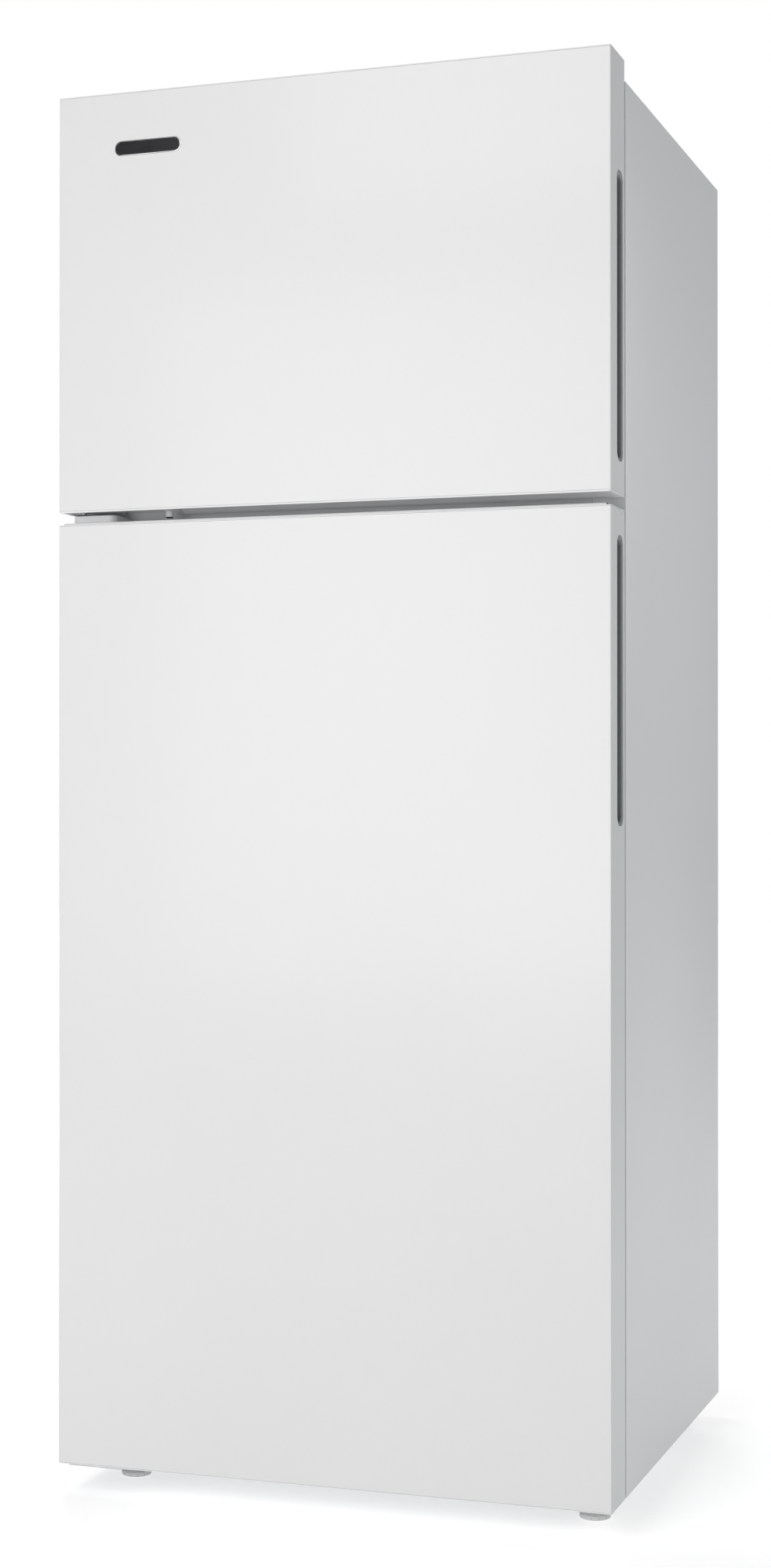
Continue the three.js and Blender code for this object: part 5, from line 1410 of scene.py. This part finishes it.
def controls():
    """Housing under the fridge ceiling with a ribbed lamp lens and the temperature dial."""
    x, y, z = span("control_housing")
    roof = z[1]
    lens_low = z[0]
    shell_low = 1.138
    ky = span("temperature_knob")[1]
    knob_at = (anchor("temperature_knob_turn")[0], anchor("temperature_knob_turn")[2])
    front = y[0]
    section = [(front + 0.0006, roof), (front, roof - 0.002), (front, shell_low + 0.006)]
    section += arc((front + 0.006, shell_low + 0.006), 0.006, 180, 270, 6)
    section += [
        (y[1] - 0.020, shell_low), (y[1] - 0.016, shell_low + 0.0016), (y[1], roof - 0.010), (y[1], roof)
    ]
    shell = piece(
        "control_shell", "cabinet", "trim", *extruded("x", section, x), ("control_housing",), "liner_plastic",
    )
    soft_ends(shell, 0.0015, 3, harden=False)
    shell.data = evaluated_mesh(shell)
    shell.modifiers.clear()
    bore = turned("y", knob_at, [(0.0048, front - 0.01), (0.0048, front + 0.030)], 28)
    cut_out(shell, *bore)
    lens_x, lens_y = (-0.110, 0.020), (-0.136, 0.030)
    well = block(
        "z", (lens_x[0] - 0.001, lens_x[1] + 0.001), (lens_y[0] - 0.001, lens_y[1] + 0.001),
        (shell_low - 0.002, shell_low + 0.004), 0.009, 0.0003
    )
    cut_out(shell, *well)
    cover = [
        (0.0, shell_low + 0.0034), (0.0, lens_low + 0.0022), (0.0008, lens_low + 0.0008), (0.0024, lens_low)
    ]
    pane = loft(rounded_rings("z", lens_x, lens_y, 0.008, cover, 5))
    lens = piece("lamp_lens", "cabinet", "lens", *pane, (), "frosted_plastic")
    flutes = []
    count = 15
    for i in range(count):
        level = lens_y[0] + 0.010 + (lens_y[1] - lens_y[0] - 0.020) * i / (count - 1)
        flutes.append(
            block(
                "x", (level - 0.0022, level + 0.0022), (lens_low - 0.001, lens_low + 0.0009),
                (lens_x[0] + 0.008, lens_x[1] - 0.008), 0.0009, 0.0008, 3
            )
        )
    cut_out(lens, *joined(*flutes))
    for i in range(7):
        a = math.radians(225 - 45 * i)
        r0 = 0.0195
        mark_at = (knob_at[0] + r0 * math.cos(a), knob_at[1] + r0 * math.sin(a) * 0.62)
        dot = [
            (0.0002, front - 0.0003), (0.0008 + i * 0.00018, front - 0.0003),
            (0.0008 + i * 0.00018, front + 0.001)
        ]
        piece(f"dial_mark_{i}", "cabinet", "knob", *turned("y", mark_at, dot, 16), (), "liner_plastic")

    rings, sides = [], 72
    grips = 24
    dial = [
        (0.0002, ky[0] + 0.0070), (0.0118, ky[0] + 0.0070), (0.0138, ky[0] + 0.0074),
        (0.0146, ky[0] + 0.0082)
    ]
    dial += [
        (0.0150, ky[0] + 0.0094), (0.0150, ky[0] + 0.0128), (0.0144, ky[0] + 0.0136),
        (0.0040, ky[0] + 0.0137), (0.0040, ky[1])
    ]
    for radius, level in dial:
        ring = []
        for i in range(sides):
            a = 2 * math.pi * i / sides
            flute = 0.00035 * (1 - math.cos(grips * a)) if 0.0140 < radius else 0.0
            ring.append(
                placed(
                    "y", knob_at[0] + (radius - flute) * math.cos(a),
                    knob_at[1] + (radius - flute) * math.sin(a), level
                )
            )
        rings.append(ring)
    piece("dial_body", "temperature_knob", "trim", *loft(rings), ("temperature_knob",), "door_plastic", 60)
    bar = block(
        "y", (knob_at[0] - 0.0035, knob_at[0] + 0.0035), (knob_at[1] - 0.013, knob_at[1] + 0.013),
        (ky[0], ky[0] + 0.0074), 0.0030, 0.0018, 6
    )
    piece("dial_bar", "temperature_knob", "trim", *bar, (), "door_plastic")
    pointer_z = (knob_at[1] + 0.003, knob_at[1] + 0.0105)
    pointer_x = (knob_at[0] - 0.0005, knob_at[0] + 0.0005)
    pointer = block("y", pointer_x, pointer_z, (ky[0], ky[0] + 0.0012), 0.0004, 0.0001, 2)
    piece("dial_pointer", "temperature_knob", "knob", *pointer, (), "door_plastic")


freezer_rear()
ice_maker()
air_duct()
controls()

# ---------------------------------------------------------------- stage, light and camera

floor_mesh = bpy.data.meshes.new("floor")
FLOOR_X, FLOOR_Y = (-14.0, 14.0), (-14.0, 14.0)
floor_mesh.from_pydata([(x, y, 0.0) for y in FLOOR_Y for x in FLOOR_X], [], [(0, 1, 3, 2)])
floor = bpy.data.objects.new("floor", floor_mesh)
bpy.context.scene.collection.objects.link(floor)
paper = moulded("glowing_floor_paper", (0.93, 0.93, 0.93), 0.9, 0.01, 3.0, 60, 0.02)
paper_shader = paper.node_tree.nodes["Principled BSDF"]
paper_shader.inputs["Emission Color"].default_value = (1, 1, 1, 1)
# The floor paper glows though it is no lamp, painted light: 0.29 onto the fridge, 0.51 to the camera near it,
# rising to 1.0 to the camera from 0.9 m to 3.4 m out, where the lamps fall off.
FLOOR_GLOW_CAST, FLOOR_GLOW_SEEN, FLOOR_GLOW_FAR = 0.29, 0.51, 1.0
FLOOR_FADE = (0.9, 3.4)
ray = paper.node_tree.nodes.new("ShaderNodeLightPath")
floor_glow = paper.node_tree.nodes.new("ShaderNodeMapRange")
floor_glow.inputs["To Min"].default_value = FLOOR_GLOW_CAST
paper.node_tree.links.new(ray.outputs["Is Camera Ray"], floor_glow.inputs["Value"])
place = paper.node_tree.nodes.new("ShaderNodeTexCoord")
reach = paper.node_tree.nodes.new("ShaderNodeVectorMath")
reach.operation = "LENGTH"
paper.node_tree.links.new(place.outputs["Object"], reach.inputs[0])
fade = paper.node_tree.nodes.new("ShaderNodeMapRange")
fade.inputs["From Min"].default_value, fade.inputs["From Max"].default_value = FLOOR_FADE
fade.inputs["To Min"].default_value = FLOOR_GLOW_SEEN
fade.inputs["To Max"].default_value = FLOOR_GLOW_FAR
paper.node_tree.links.new(reach.outputs["Value"], fade.inputs["Value"])
paper.node_tree.links.new(fade.outputs[0], floor_glow.inputs["To Max"])
paper.node_tree.links.new(floor_glow.outputs[0], paper_shader.inputs["Emission Strength"])
floor_mesh.materials.append(paper)

world = bpy.data.worlds.new("studio")
world.use_nodes = True
sky = world.node_tree
glow = sky.nodes["Background"]
glow.inputs["Color"].default_value = (0.97, 0.985, 1.0, 1)
glow.inputs["Strength"].default_value = 0.18
pale = sky.nodes.new("ShaderNodeBackground")
pale.inputs["Color"].default_value = (1.0, 1.0, 1.0, 1)
seen = sky.nodes.new("ShaderNodeLightPath")
either = sky.nodes.new("ShaderNodeMixShader")
sky.links.new(seen.outputs["Is Camera Ray"], either.inputs["Fac"])
sky.links.new(glow.outputs["Background"], either.inputs[1])
sky.links.new(pale.outputs["Background"], either.inputs[2])
sky.links.new(either.outputs["Shader"], sky.nodes["World Output"].inputs["Surface"])
scene.world = world
scene.view_settings.view_transform = "Standard"


def area_light(name, at, target, size, power, colour=(1, 1, 1)):
    light = bpy.data.lights.new(name, "AREA")
    light.shape = "RECTANGLE"
    light.size, light.size_y = size
    light.energy = power
    light.color = colour
    obj = bpy.data.objects.new(name, light)
    obj.location = at
    obj.rotation_euler = (Vector(target) - Vector(at)).to_track_quat("-Z", "Y").to_euler()
    obj.visible_camera = False
    scene.collection.objects.link(obj)
    return obj


LIGHTS = [
    # name, place, aim, size, watts
    ("key", (-0.75, -3.4, 1.25), (0, -0.3, 1.0), (1.5, 1.7), 31.0),
    ("key_high", (-0.4, -3.2, 2.7), (0, -0.3, 1.4), (1.5, 0.8), 18.2),
    ("key_low", (0.0, -3.4, 0.5), (0, -0.3, 0.5), (1.5, 0.6), 5),
    ("far_floor", (0.0, 1.8, 2.6), (0, 4.2, 0.0), (4.0, 1.0), 22),
    ("rear", (-1.6, 4.6, 2.2), (0, 0.3, 0.9), (1.8, 1.8), 40),
    ("top", (-0.7, 0.6, 3.4), (-0.1, 0.0, 1.7), (0.8, 0.8), 12),
    ("right", (2.1, 0.9, 1.45), (0.35, 0.1, 1.4), (1.2, 1.0), 14.0),
]
for spec in LIGHTS:
    area_light(*spec)

camera = bpy.data.cameras.new("camera")
camera.lens = 57.36
camera.sensor_width = 36.0
camera.clip_end = 60
camera_obj = bpy.data.objects.new("camera", camera)
CAMERA_AT = Vector((1.0241, -3.1172, 0.8567))
CAMERA_YAW, CAMERA_PITCH = 0.3272, 0.0066
camera_obj.location = CAMERA_AT
camera_obj.rotation_euler = (math.pi / 2 + CAMERA_PITCH, 0, CAMERA_YAW)
scene.collection.objects.link(camera_obj)
scene.camera = camera_obj
